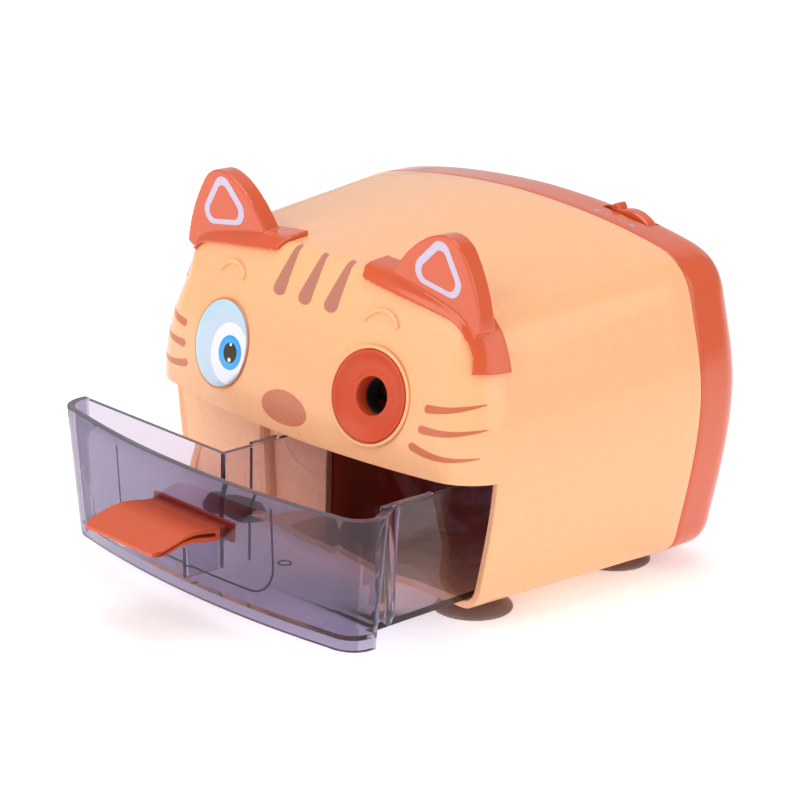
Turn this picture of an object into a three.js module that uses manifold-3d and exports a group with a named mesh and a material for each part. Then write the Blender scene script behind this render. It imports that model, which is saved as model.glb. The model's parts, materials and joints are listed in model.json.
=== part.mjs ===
// Desktop electric pencil sharpener with a plain cat face.
// Millimetres, +Z up, the face looks along -Y, +X is on the right of someone facing it.
// The drawer stands pulled out, and the whole object stands on four suction feet at Z = 0.

import * as THREE from 'three';
import { mergeVertices } from 'three/addons/utils/BufferGeometryUtils.js';
import { ParametricGeometry } from 'three/addons/geometries/ParametricGeometry.js';
import Module from 'manifold-3d';

const wasm = await Module();
wasm.setup();

// ---------------------------------------------------------------- driving dimensions

const GAP = 0.3;                 // clearance between pieces that touch
const WALL = 2.4;                // moulded wall of the housing
const THIN_WALL = 1.6;           // moulded wall of the drawer and the liner
const FINEST_EDGE = 0.02;        // detail below this is merged away

const BODY_BOTTOM = 5.0;         // underside of the housing
const BODY_TOP = 96.4;           // crown of the housing at the seam
const SEAM_Y = 31.1;             // joint between housing and rear cover
const BODY_FRONT_EDGE = -39.0;   // front edge of the side walls, below the lip
const FRONT_NARROWING = 0.00122; // loss of width per millimetre towards the face
const FRONT_LOWERING = 0.00099;  // loss of height per millimetre towards the face

const FACE_Y = -55.6;            // foremost line of the face, at the lip
const FACE_PLAN = 1 / 520;       // crown of the face in plan
const FACE_LEAN = 0.0065;        // how the face curves back above the lip
const LIP_Z = 42.5;              // lower edge of the face
const FACE_CENTRE_Z = 60;

const COVER_BACK = 50.5;
const COVER_CORNER = 9;

const EYE_X = 30;
const EYE_Z = 59.9;
const EYE_RADIUS = 11.6;
const RING_RADIUS = 12.5;

const AXIS_X = 30;               // pencil axis, parallel to Y
const AXIS_Z = 59.9;

const FASCIA_Y = -90.1;
const FASCIA_TOP = 41;
const FASCIA_BOTTOM = 4.5;
const FASCIA_HALF = 61.8;
const FASCIA_CORNER = 9;
const FASCIA_WALL = 2.2;
const FASCIA_END_Y = -74.0;
const FASCIA_LEAN = 0.082;       // the fascia leans back towards its lower edge
const FASCIA_TAPER = 0.0016;
const TRAY_BACK_Y = -74.4;
const BIN_LEFT = -2.9;
const BIN_RIGHT = 56.3;
const BIN_DRAFT = 2.1;
const BIN_REAR = -18.0;
const BIN_FLOOR = 7.1;
const BIN_TOP = 40.5;

const FOOT_X = 45.7;
const FOOT_Y = 27.3;
const FOOT_RADIUS = 11;

const MODULE = 1;                // gear tooth size
const PRESSURE = THREE.MathUtils.degToRad(20);
const CARRIER_TEETH = 56;
const SMALL_TEETH = 12;
const LARGE_TEETH = 44;
const MOTOR_TEETH = 10;
const RING_TEETH = 32;
const CUTTER_TEETH = 10;
const WHEEL_TEETH = 11;
const CAM_TEETH = 39;
const CUTTER_TILT = THREE.MathUtils.degToRad(9);
const CUTTER_RADIAL = 8.3;       // cutter axis below the pencil axis, at Y = 0
const GEAR_SLIP = 0.32;          // free play between meshing flanks
const COARSE_TEETH = 20;         // larger gears have straight flanks

const IDLER_X = -3.27;
const IDLER_Z = AXIS_Z - 7;
const MOTOR_X = -29;
const MOTOR_Z = 61.05;
const WHEEL_X = 34.3;
const WHEEL_Z = AXIS_Z + 24.627;

// ---------------------------------------------------------------- finishes

const finish = (color, roughness, metalness = 0) => ({ color, roughness, metalness });

const PEACH = finish(0xf9be8e, 0.32);
const ORANGE = finish(0xe0693c, 0.3);
const RING_RED = finish(0xd65a3a, 0.35);
const SMOKE = finish(0x6f6480, 0.12);
const EYE_WHITE = finish(0xdfeaf4, 0.15);
const FOOT_GREY = finish(0x5d5156, 0.6);
const STEEL = finish(0xb8bcc2, 0.35, 0.9);
const GEAR_WHITE = finish(0xe9e6dc, 0.5);
const BLACK = finish(0x232326, 0.5);
const BOARD_GREEN = finish(0x2e6b3f, 0.6);
const CELL_BLUE = finish(0x3d5f8f, 0.35);
const BRASS = finish(0xb8934a, 0.35, 0.9);

// ---------------------------------------------------------------- solids

function solid(geometry) {
  const plain = geometry.clone();
  for (const name of Object.keys(plain.attributes)) {
    if (name !== 'position') plain.deleteAttribute(name);
  }
  const merged = mergeVertices(plain, 1e-4);
  const index = merged.index.array;
  const kept = [];
  for (let i = 0; i < index.length; i += 3) {
    const [a, b, c] = [index[i], index[i + 1], index[i + 2]];
    if (a !== b && b !== c && c !== a) kept.push(a, b, c);
  }
  return new wasm.Manifold(new wasm.Mesh({
    numProp: 3,
    vertProperties: new Float32Array(merged.attributes.position.array),
    triVerts: new Uint32Array(kept),
  }));
}

function geometryOf(manifold) {
  const mesh = manifold.simplify(FINEST_EDGE).getMesh();
  const geometry = new THREE.BufferGeometry();
  geometry.setAttribute('position', new THREE.BufferAttribute(mesh.vertProperties, 3));
  geometry.setIndex(new THREE.BufferAttribute(mesh.triVerts, 1));
  geometry.computeVertexNormals();
  return geometry;
}

const join = (first, ...rest) => rest.reduce((sum, next) => sum.add(next), first);
const cut = (first, ...rest) => rest.reduce((sum, next) => sum.subtract(next), first);

function box(x0, x1, y0, y1, z0, z1) {
  const geometry = new THREE.BoxGeometry(x1 - x0, y1 - y0, z1 - z0);
  return solid(geometry.translate((x0 + x1) / 2, (y0 + y1) / 2, (z0 + z1) / 2));
}

function rodY(radius, y0, y1, x, z, sides = 24) {
  const geometry = new THREE.CylinderGeometry(radius, radius, y1 - y0, sides);
  return solid(geometry.translate(x, (y0 + y1) / 2, z));
}

function rodZ(radius, z0, z1, x, y, sides = 24) {
  const geometry = new THREE.CylinderGeometry(radius, radius, z1 - z0, sides);
  return solid(geometry.rotateX(Math.PI / 2).translate(x, y, (z0 + z1) / 2));
}

function extrude(shape, depth, curveSegments = 6) {
  return new THREE.ExtrudeGeometry(shape, { depth, bevelEnabled: false, curveSegments });
}

// A shape drawn in X and Z, standing from y0 to y1.
function slabY(shape, y0, y1, curveSegments = 6) {
  return solid(extrude(shape, y1 - y0, curveSegments).rotateX(Math.PI / 2).translate(0, y1, 0));
}

// A shape drawn in Y and Z, running from x0 to x1.
function slabX(shape, x0, x1, curveSegments = 6) {
  const turn = new THREE.Matrix4().makeBasis(
    new THREE.Vector3(0, 1, 0),
    new THREE.Vector3(0, 0, 1),
    new THREE.Vector3(1, 0, 0),
  );
  return solid(extrude(shape, x1 - x0, curveSegments).applyMatrix4(turn).translate(x0, 0, 0));
}

function polygon(points) {
  return new THREE.Shape(points.map(([x, y]) => new THREE.Vector2(x, y)));
}

function latheY(profile, x, y, z, sides = 32) {
  const points = [...profile, profile[0]].map(([r, h]) => new THREE.Vector2(r, h));
  return solid(new THREE.LatheGeometry(points, sides).translate(x, y, z));
}

function piece(name, manifold, look) {
  const material = new THREE.MeshStandardMaterial(look);
  const mesh = new THREE.Mesh(geometryOf(manifold), material);
  mesh.name = name;
  return mesh;
}

// ---------------------------------------------------------------- housing surface

// Section of the housing at the seam: arched top, barrel sides and a flat underside.
function barrelOutline() {
  const shape = new THREE.Shape();
  const right = [
    [[20, 96.2], [38, 94.2], [52, 91.2]],
    [[60.5, 89.6], [64.6, 85.2], [66.4, 78]],
    [[68.4, 70], [71.7, 61], [71.7, 51]],
    [[71.7, 38], [68.4, 24], [66, 13]],
    [[65.2, 8.4], [63, BODY_BOTTOM], [58.5, BODY_BOTTOM]],
  ];
  shape.moveTo(0, BODY_TOP);
  let start = [0, BODY_TOP];
  const left = [];
  for (const [a, b, end] of right) {
    shape.bezierCurveTo(...a, ...b, ...end);
    left.unshift([b, a, start]);
    start = end;
  }
  shape.bezierCurveTo(20, BODY_BOTTOM, -20, BODY_BOTTOM, -start[0], BODY_BOTTOM);
  for (const [a, b, end] of left) {
    shape.bezierCurveTo(-a[0], a[1], -b[0], b[1], -end[0], end[1]);
  }
  return shape;
}

// The outline as a ring of points with their outward directions.
function outlineRing(divisions) {
  const points = barrelOutline().getPoints(divisions);
  points.pop();
  return points.map((point, i) => {
    const before = points[(i + points.length - 1) % points.length];
    const after = points[(i + 1) % points.length];
    const along = after.clone().sub(before).normalize();
    return { point, outward: new THREE.Vector2(-along.y, along.x) };
  });
}

function faceY(x, z) {
  const above = Math.max(0, z - LIP_Z);
  return FACE_Y + x * x * FACE_PLAN + above * above * FACE_LEAN;
}

const RING = outlineRing(4);
const CORNER_STEPS = [0, 30, 60, 90].map(THREE.MathUtils.degToRad);
const FACE_STEPS = [0.75, 0.4];

function atStation(point, y) {
  const width = 1 - FRONT_NARROWING * (SEAM_Y - y);
  const height = 1 - FRONT_LOWERING * (SEAM_Y - y);
  return new THREE.Vector2(point.x * width, BODY_BOTTOM + (point.y - BODY_BOTTOM) * height);
}

// A closed skin over rows of rings: each row gives one point for a ring position.
function skin(rows) {
  const stacks = rows.length - 1;
  const surface = (u, v, target) => {
    const i = Math.round((1 - u) * RING.length) % RING.length;
    target.copy(rows[Math.round(v * stacks)](RING[i]));
  };
  return solid(new ParametricGeometry(surface, RING.length, stacks));
}

// The housing with its crowned face; inset moves every wall inwards.
function housingSolid(inset, rearY) {
  const edgeRadius = ({ outward }) => Math.max(0.4, 1.6 + 10.4 * outward.x ** 2 - inset);
  const place = ({ point, outward }, y, inward) => {
    const at = atStation(point, y);
    return at.addScaledVector(outward, -(inset + inward));
  };
  const side = (ring, angle) => {
    const radius = edgeRadius(ring);
    const at = place(ring, BODY_FRONT_EDGE, radius * (1 - Math.cos(angle)));
    const y = faceY(at.x, at.y) + inset + radius * (1 - Math.sin(angle));
    return new THREE.Vector3(at.x, y, at.y);
  };
  const inner = (ring, share) => {
    const edge = place(ring, BODY_FRONT_EDGE, edgeRadius(ring));
    const x = edge.x * share;
    const z = FACE_CENTRE_Z + (edge.y - FACE_CENTRE_Z) * share;
    return new THREE.Vector3(x, faceY(x, z) + inset, z);
  };
  const rear = (ring) => {
    const at = place(ring, rearY, 0);
    return new THREE.Vector3(at.x, rearY, at.y);
  };
  return skin([
    () => new THREE.Vector3(0, rearY, FACE_CENTRE_Z),
    rear,
    ...CORNER_STEPS.map((angle) => (ring) => side(ring, angle)),
    ...FACE_STEPS.map((share) => (ring) => inner(ring, share)),
    () => new THREE.Vector3(0, faceY(0, FACE_CENTRE_Z) + inset, FACE_CENTRE_Z),
  ]);
}

// From a point of the outline towards the nearest part of a block inside the housing.
function towardsCore(point) {
  const core = new THREE.Vector2(
    THREE.MathUtils.clamp(point.x, -50, 50),
    THREE.MathUtils.clamp(point.y, 21, 79),
  );
  return core.sub(point).normalize();
}

// The rear cover's outer form, or its hollow when inset.
function coverSolid(inset, frontY) {
  const radius = COVER_CORNER - inset;
  const back = COVER_BACK - inset;
  const at = ({ point, outward }, inward, y) => {
    const place = point.clone().addScaledVector(outward, -inset);
    place.addScaledVector(towardsCore(point), inward);
    return new THREE.Vector3(place.x, y, place.y);
  };
  const corner = [0, 30, 60, 90].map(THREE.MathUtils.degToRad);
  return skin([
    () => new THREE.Vector3(0, back, FACE_CENTRE_Z),
    ...[...corner].reverse().map((angle) => (ring) => at(
      ring,
      0.4 + radius * (1 - Math.cos(angle)),
      back - radius * (1 - Math.sin(angle)),
    )),
    (ring) => at(ring, 0, frontY),
    () => new THREE.Vector3(0, frontY, FACE_CENTRE_Z),
  ]);
}

// Turns a solid made along +Y at the origin so that it stands out of the face at x, z.
function faceFrame(x, z) {
  const slopeX = 2 * x * FACE_PLAN;
  const slopeZ = 2 * Math.max(0, z - LIP_Z) * FACE_LEAN;
  const outward = new THREE.Vector3(slopeX, -1, slopeZ).normalize();
  const turn = new THREE.Quaternion().setFromUnitVectors(new THREE.Vector3(0, 1, 0), outward);
  const place = new THREE.Vector3(x, faceY(x, z), z);
  return new THREE.Matrix4().compose(place, turn, new THREE.Vector3(1, 1, 1));
}

function faceRod(radius, low, high, x, z, sides = 28) {
  const geometry = new THREE.CylinderGeometry(radius, radius, high - low, sides);
  geometry.translate(0, (low + high) / 2, 0);
  return solid(geometry.applyMatrix4(faceFrame(x, z)));
}

// ---------------------------------------------------------------- housing pieces

const SCREW_X = 57.4;
const SCREW_LOW_Z = 19;
const SCREW_HIGH_Z = 80;
const SCREW_PLACES = [
  ['lower_left', -SCREW_X - 2.9, SCREW_LOW_Z],
  ['lower_right', SCREW_X + 2.9, SCREW_LOW_Z],
  ['upper_left', -SCREW_X, SCREW_HIGH_Z],
  ['upper_right', SCREW_X, SCREW_HIGH_Z],
];
const BLOCK_WALL_Y = -38.1;      // front wall beside the drawer bay
const BLOCK_STEP_X = -27.5;
const BLOCK_STEP = 2.4;
const BLOCK_RIGHT = -4.0;
const BLOCK_TOP = 52;
const DOOR = { x0: -42.9, x1: -11.5, y0: -31, y1: 25 };

function mainShell() {
  const outer = housingSolid(0, SEAM_Y);
  const lower = box(-90, 90, -90, BODY_FRONT_EDGE, -10, LIP_Z);
  const hollow = housingSolid(WALL, SEAM_Y + 5);
  const shell = cut(outer, lower, hollow);
  const frontWall = join(
    box(-90, BLOCK_STEP_X, BLOCK_WALL_Y, BLOCK_WALL_Y + WALL, 0, BLOCK_TOP),
    box(
      BLOCK_STEP_X - WALL, BLOCK_RIGHT,
      BLOCK_WALL_Y + BLOCK_STEP, BLOCK_WALL_Y + BLOCK_STEP + 2, 0, BLOCK_TOP,
    ),
  ).intersect(housingSolid(0.4, SEAM_Y));
  const bosses = SCREW_PLACES.map(([, x, z]) => (
    rodY(4.4, 12, SEAM_Y, x, z, 12).intersect(housingSolid(0.4, SEAM_Y))
  ));
  const pilots = SCREW_PLACES.map(([, x, z]) => rodY(1.6, 14, SEAM_Y + 1, x, z, 8));
  const notch = box(40, 63.6, BODY_FRONT_EDGE - 1, BODY_FRONT_EDGE + 14, 37, LIP_Z - 1.1);
  return cut(
    join(shell, frontWall, ...bosses),
    ...pilots,
    notch,
    box(BLOCK_RIGHT, 54.8, BODY_FRONT_EDGE - 1, 18, BODY_BOTTOM + 1.6, 9),
    box(-57, BLOCK_RIGHT + 1, BODY_FRONT_EDGE - 1, BODY_FRONT_EDGE + 0.8, BODY_BOTTOM + 1.6, 9),
    faceRod(RING_RADIUS + GAP, -20, 20, AXIS_X, AXIS_Z),
    faceRod(EYE_RADIUS + GAP, -1.2, 10, -EYE_X, EYE_Z),
    box(DOOR.x0, DOOR.x1, DOOR.y0, DOOR.y1, 0, 9),
    ...footPlaces().map(([, x, y]) => rodZ(2.4, 0, 9, x, y, 12)),
  );
}

function coverVents() {
  const slots = [];
  for (let i = 0; i < 6; i += 1) {
    const x = -46 + i * 6;
    slots.push(box(x, x + 2.6, COVER_BACK - 4, COVER_BACK + 1, 54, 74));
  }
  return slots;
}

const WHEEL_SLOT = { x0: 22.9, x1: 45.9, y0: 39.4, y1: 44.7 };
const JACK_X = -43.7;
const JACK_Z = 24;

function rearCover() {
  const front = SEAM_Y + GAP;
  const shell = cut(coverSolid(0, front), coverSolid(WALL, front - 5));
  const inside = coverSolid(0.4, front);
  const wells = SCREW_PLACES.map(([, x, z]) => rodY(4.8, front, COVER_BACK, x, z, 12).intersect(inside));
  const bores = SCREW_PLACES.flatMap(([, x, z]) => [
    rodY(3.4, 36, COVER_BACK + 1, x, z, 12),
    rodY(1.9, front - 1, COVER_BACK, x, z, 8),
  ]);
  const stopBoss = rodY(5.2, 40.4, COVER_BACK - 1, AXIS_X, AXIS_Z);
  const wheelBoss = rodY(3.8, 44.9, COVER_BACK - 1, WHEEL_X, WHEEL_Z, 16);
  return cut(
    join(shell, ...wells, stopBoss, wheelBoss),
    ...bores,
    rodY(2.5, 39, COVER_BACK - 1.4, AXIS_X, AXIS_Z),
    rodY(2.3, 44, COVER_BACK - 1.4, WHEEL_X, WHEEL_Z, 16),
    box(WHEEL_SLOT.x0, WHEEL_SLOT.x1, WHEEL_SLOT.y0, WHEEL_SLOT.y1, 88, 100),
    rodY(5.4, COVER_BACK - 6, COVER_BACK + 1, JACK_X, JACK_Z, 20),
    ...coverVents(),
  );
}

// Cap over one upper front corner, with the ear standing on it. side is -1 or 1.
function earCap(side) {
  const region = new THREE.Shape();
  region.moveTo(17.4, 87.2);
  region.bezierCurveTo(28, 85.6, 40, 84.3, 47.6, 82.9);
  region.bezierCurveTo(54, 81.6, 57.2, 76, 57.6, 70.6);
  region.lineTo(80, 70.2);
  region.lineTo(80, 112);
  region.lineTo(15.6, 112);
  region.lineTo(15.6, 90);
  const ear = new THREE.Shape();
  ear.moveTo(23.6, 87);
  ear.bezierCurveTo(27.6, 94.5, 33.6, 101.6, 39.4, 103.6);
  ear.bezierCurveTo(43.4, 104.9, 47.4, 103.4, 49.6, 100.2);
  ear.bezierCurveTo(53.8, 94.6, 57, 88.6, 58.8, 81);
  ear.lineTo(50, 78);
  ear.lineTo(28, 82);
  const mirror = (shape) => new THREE.Shape(
    shape.getPoints(5).map((p) => new THREE.Vector2(side * p.x, p.y)),
  );
  const cap = housingSolid(-1.5, SEAM_Y).intersect(slabY(mirror(region), -70, -32.5));
  const plate = slabY(mirror(ear), -41.2, -36.4);
  return cut(join(cap, plate), housingSolid(-GAP / 2, SEAM_Y + 5));
}

function eyeDisc() {
  const dome = [
    [0, -0.9],
    [EYE_RADIUS, -0.9],
    [EYE_RADIUS, 0.25],
    [EYE_RADIUS * 0.8, 0.75],
    [EYE_RADIUS * 0.4, 1.1],
    [0, 1.2],
  ].map(([r, h]) => new THREE.Vector2(r, h));
  return solid(new THREE.LatheGeometry(dome, 28).applyMatrix4(faceFrame(-EYE_X, EYE_Z)));
}

function pencilRing() {
  const profile = [
    [RING_RADIUS, 0.5],
    [RING_RADIUS - 1, 0.7],
    [RING_RADIUS - 2, -0.3],
    [9, -2.3],
    [6.4, -3.2],
    [5.2, -3.6],
    [5.2, -8],
    [7, -8],
    [7, -5.6],
    [RING_RADIUS, -3],
    [RING_RADIUS, 0.5],
  ].map(([r, h]) => new THREE.Vector2(r, h));
  return solid(new THREE.LatheGeometry(profile, 28).applyMatrix4(faceFrame(AXIS_X, AXIS_Z)));
}

function footPlaces() {
  return [
    ['front_left', -FOOT_X, -FOOT_Y],
    ['front_right', FOOT_X, -FOOT_Y],
    ['rear_left', -FOOT_X, FOOT_Y],
    ['rear_right', FOOT_X, FOOT_Y],
  ];
}

// Suction cup with a flat rim, a hollow underside and a stud up into the housing.
function foot(x, y) {
  const profile = [
    [0, 1.6],
    [7, 1.0],
    [9.4, 0],
    [FOOT_RADIUS, 0],
    [FOOT_RADIUS, 0.7],
    [7.6, 2.4],
    [4.2, 3.4],
    [4.2, BODY_BOTTOM - GAP],
    [2.2, BODY_BOTTOM - GAP],
    [2.2, 6.3],
    [0, 6.3],
  ].map(([r, h]) => new THREE.Vector2(r, h));
  const geometry = new THREE.LatheGeometry(profile, 16).rotateX(Math.PI / 2);
  return solid(geometry.translate(x, y, 0));
}

function coverScrew(x, z) {
  return latheY([[0, 18], [1.35, 18.8], [1.35, 36.3], [3, 36.3], [3, 38.2], [0, 38.2]], x, 0, z, 10);
}

// ---------------------------------------------------------------- drawer

// Plan of the fascia, or of the room behind it when inset.
function fasciaPlan(inset) {
  const front = (x) => FASCIA_Y + x * x * FACE_PLAN;
  const corner = FASCIA_HALF - FASCIA_CORNER;
  const centreY = front(corner) + FASCIA_CORNER;
  const radius = FASCIA_CORNER - inset;
  const steps = 5;
  const points = [[-FASCIA_HALF + inset, FASCIA_END_Y + inset]];
  for (let i = 0; i < steps; i += 1) {
    const angle = Math.PI * (1 + 0.5 * (i / steps));
    points.push([-corner + radius * Math.cos(angle), centreY + radius * Math.sin(angle)]);
  }
  for (let x = -corner; x <= corner + 0.01; x += corner / 5) points.push([x, front(x) + inset]);
  for (let i = steps - 1; i >= 0; i -= 1) {
    const angle = Math.PI * (2 - 0.5 * (i / steps));
    points.push([corner + radius * Math.cos(angle), centreY + radius * Math.sin(angle)]);
  }
  points.push([FASCIA_HALF - inset, FASCIA_END_Y + inset]);
  return polygon(points);
}

// The plan stands up from the lower edge, narrower and further back at its foot.
function fasciaBlock(inset) {
  const height = FASCIA_TOP - FASCIA_BOTTOM + 2 * inset;
  const geometry = extrude(fasciaPlan(inset), height).translate(0, 0, FASCIA_BOTTOM - inset);
  const place = geometry.attributes.position;
  for (let i = 0; i < place.count; i += 1) {
    const below = FASCIA_TOP - place.getZ(i);
    const share = (FASCIA_END_Y - place.getY(i)) / (FASCIA_END_Y - FASCIA_Y);
    place.setX(i, place.getX(i) * (1 - FASCIA_TAPER * below));
    place.setY(i, place.getY(i) + FASCIA_LEAN * below * share);
  }
  return solid(geometry);
}

function fascia() {
  return cut(fasciaBlock(0), fasciaBlock(FASCIA_WALL));
}

const HANDLE_HALF = 14;
const HANDLE_Z = 27.6;           // top of the tongue where it leaves the fascia
const HANDLE_THICK = 2.4;
const HANDLE_TIP_Y = -110.4;

function drawerBin() {
  const rightWall = polygon([
    [BIN_RIGHT - BIN_DRAFT - THIN_WALL, BIN_FLOOR],
    [BIN_RIGHT - BIN_DRAFT, BIN_FLOOR],
    [BIN_RIGHT, BIN_TOP],
    [BIN_RIGHT - THIN_WALL, BIN_TOP],
  ]);
  const trayBack = polygon([
    [-57.2, BIN_FLOOR],
    [BIN_LEFT + THIN_WALL, BIN_FLOOR],
    [BIN_LEFT + THIN_WALL, BIN_TOP],
    [-60.6, BIN_TOP],
  ]);
  const frontLimit = FASCIA_Y + 4.6;
  const floorRight = BIN_RIGHT - BIN_DRAFT;
  const returnWeb = polygon([
    [FASCIA_HALF - 3.6, FASCIA_END_Y - 1.2],
    [FASCIA_HALF - 0.6, FASCIA_END_Y],
    [BIN_RIGHT - 0.3, -65.6],
    [BIN_RIGHT - BIN_DRAFT - 1.2, -65.6],
  ]);
  const web = solid(extrude(returnWeb, BIN_TOP - BIN_FLOOR).translate(0, 0, BIN_FLOOR));
  const baySection = slabY(polygon([
    [-54, BIN_FLOOR], [54.2, BIN_FLOOR], [57.4, 13], [61.2, BIN_TOP], [-60.6, BIN_TOP], [-57.4, 13],
  ]), -80, -60);
  const floors = join(
    box(BIN_LEFT, floorRight, FASCIA_END_Y - 1, BIN_REAR, BIN_FLOOR, BIN_FLOOR + 1.4),
    box(-56.8, BIN_LEFT + 1, FASCIA_END_Y - 1, TRAY_BACK_Y + 1.4, BIN_FLOOR, BIN_FLOOR + 1.4),
    fasciaBlock(0.8).intersect(box(-70, 70, -100, FASCIA_END_Y, BIN_FLOOR, BIN_FLOOR + 1.4)),
  );
  const tongueSlot = box(
    -HANDLE_HALF - GAP, HANDLE_HALF + GAP, FASCIA_Y - 2, FASCIA_Y + 6,
    HANDLE_Z - HANDLE_THICK - GAP, HANDLE_Z + GAP,
  );
  return cut(
    join(
      fascia(),
      floors,
      slabY(rightWall, -70, BIN_REAR),
      box(BIN_LEFT, BIN_LEFT + THIN_WALL, TRAY_BACK_Y, BIN_REAR, BIN_FLOOR, BIN_TOP),
      box(BIN_LEFT, BIN_LEFT + THIN_WALL, frontLimit - 1.5, TRAY_BACK_Y + 1, BIN_FLOOR, 17.3),
      box(BIN_LEFT, floorRight, BIN_REAR - THIN_WALL, BIN_REAR, BIN_FLOOR, 36),
      slabY(trayBack, TRAY_BACK_Y, TRAY_BACK_Y + 1.4).intersect(baySection),
      web.intersect(baySection),
    ),
    tongueSlot,
  );
}

// Curved tongue through the fascia, with a bar behind it.
function drawerHandle() {
  const side = new THREE.Shape();
  const root = FASCIA_Y + 5.9;
  side.moveTo(root, HANDLE_Z);
  side.lineTo(-92, HANDLE_Z);
  side.bezierCurveTo(-99, HANDLE_Z + 0.6, -105, HANDLE_Z, HANDLE_TIP_Y, HANDLE_Z - 3.4);
  side.lineTo(HANDLE_TIP_Y + 0.8, HANDLE_Z - 4.6);
  side.bezierCurveTo(
    -105, HANDLE_Z - HANDLE_THICK + 0.2, -99, HANDLE_Z - HANDLE_THICK + 0.4,
    -92, HANDLE_Z - HANDLE_THICK,
  );
  side.lineTo(root, HANDLE_Z - HANDLE_THICK);
  const tongue = slabX(side, -15.6, 15.6, 6);
  const plan = polygon([
    [-HANDLE_HALF, root + 1],
    [-HANDLE_HALF, -92],
    [-15.4, -106],
    [-14.2, HANDLE_TIP_Y - 0.1],
    [14.2, HANDLE_TIP_Y - 0.1],
    [15.4, -106],
    [HANDLE_HALF, -92],
    [HANDLE_HALF, root + 1],
  ]);
  const trimmed = tongue.intersect(solid(extrude(plan, 20).translate(0, 0, 15)));
  return join(trimmed, box(-17, 17, root - 1.4, root, HANDLE_Z - 4.2, HANDLE_Z + 1.8));
}

// Liner of the drawer bay: left wall, back wall and a ceiling with the chip chute.
function bayLiner() {
  const left = BLOCK_RIGHT - THIN_WALL;
  const ceiling = 44.2;
  const back = 17.4;
  return cut(
    join(
      box(left, BLOCK_RIGHT, -33, back + THIN_WALL, 8, ceiling + THIN_WALL),
      box(left, 55.4, back, back + THIN_WALL, 14, ceiling + THIN_WALL),
      box(left, 57, -33, back + THIN_WALL, ceiling, ceiling + THIN_WALL),
    ),
    box(12, 48, -21, 14, ceiling - 1, ceiling + 5),
    box(37, 45, back - 1, back + 3, 24, 30),
  );
}

// ---------------------------------------------------------------- gears

const involute = (angle) => Math.tan(angle) - angle;

// Outline of a gear, or of the hole inside an internal gear when play is negative.
function gearOutline(teeth, addendum, dedendum, play, phase) {
  const pitch = (teeth * MODULE) / 2;
  const base = pitch * Math.cos(PRESSURE);
  const tip = pitch + addendum;
  const root = pitch - dedendum;
  const halfPitch = (Math.PI * pitch / teeth - play) / (2 * pitch);
  const half = (radius) => {
    const r = Math.max(radius, base);
    return halfPitch + involute(PRESSURE) - involute(Math.acos(base / r));
  };
  const radii = teeth > COARSE_TEETH ? [root, tip] : [root, Math.max(base, root + 0.05), pitch, tip];
  const points = [];
  for (let i = 0; i < teeth; i += 1) {
    const centre = phase + (i * 2 * Math.PI) / teeth;
    for (const r of radii) points.push([r, centre - half(r)]);
    for (const r of [...radii].reverse()) points.push([r, centre + half(r)]);
  }
  return points.map(([r, angle]) => [r * Math.cos(angle), r * Math.sin(angle)]);
}

function gearSlab(teeth, y0, y1, x, z, phase) {
  const points = gearOutline(teeth, 0.85, 1.2, GEAR_SLIP, phase);
  return slabY(polygon(points.map(([a, b]) => [a + x, b + z])), y0, y1);
}

// Phase that sets the second gear's tooth into the first gear's space.
function meshPhase(teethA, phaseA, direction, teethB) {
  const shareA = (direction - phaseA) / ((2 * Math.PI) / teethA);
  return direction + Math.PI - (0.5 - shareA) * ((2 * Math.PI) / teethB);
}

const directionOf = (x0, z0, x1, z1) => Math.atan2(z1 - z0, x1 - x0);
const TO_IDLER = directionOf(AXIS_X, AXIS_Z, IDLER_X, IDLER_Z);
const TO_MOTOR = directionOf(IDLER_X, IDLER_Z, MOTOR_X, MOTOR_Z);
const TO_WHEEL = directionOf(AXIS_X, AXIS_Z, WHEEL_X, WHEEL_Z);
const CARRIER_PHASE = 0;
const SMALL_PHASE = meshPhase(CARRIER_TEETH, CARRIER_PHASE, TO_IDLER, SMALL_TEETH);
const LARGE_PHASE = 0;
const MOTOR_PHASE = meshPhase(LARGE_TEETH, LARGE_PHASE, TO_MOTOR, MOTOR_TEETH);
const CAM_PHASE = 0;
const WHEEL_PHASE = meshPhase(CAM_TEETH, CAM_PHASE, TO_WHEEL, WHEEL_TEETH);

function carrierGear() {
  const spokes = [];
  for (let i = 0; i < 6; i += 1) {
    const angle = (i * Math.PI) / 3;
    const x = AXIS_X + 16.5 * Math.cos(angle);
    const z = AXIS_Z + 16.5 * Math.sin(angle);
    spokes.push(rodY(5.4, 21, 28, x, z, 12));
  }
  return cut(
    gearSlab(CARRIER_TEETH, 22, 27, AXIS_X, AXIS_Z, CARRIER_PHASE),
    rodY(5.2, 21, 28, AXIS_X, AXIS_Z, 24),
    ...spokes,
  );
}

function idlerGear() {
  return cut(
    join(
      gearSlab(SMALL_TEETH, 21.6, 28.2, IDLER_X, IDLER_Z, SMALL_PHASE),
      gearSlab(LARGE_TEETH, 28, 31.4, IDLER_X, IDLER_Z, LARGE_PHASE),
    ),
    rodY(1.8, 20, 33, IDLER_X, IDLER_Z, 16),
  );
}

function motorPinion() {
  return join(
    gearSlab(MOTOR_TEETH, 27.4, 32, MOTOR_X, MOTOR_Z, MOTOR_PHASE),
    rodY(1.2, 14.8, 28, MOTOR_X, MOTOR_Z, 12),
  );
}

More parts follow.
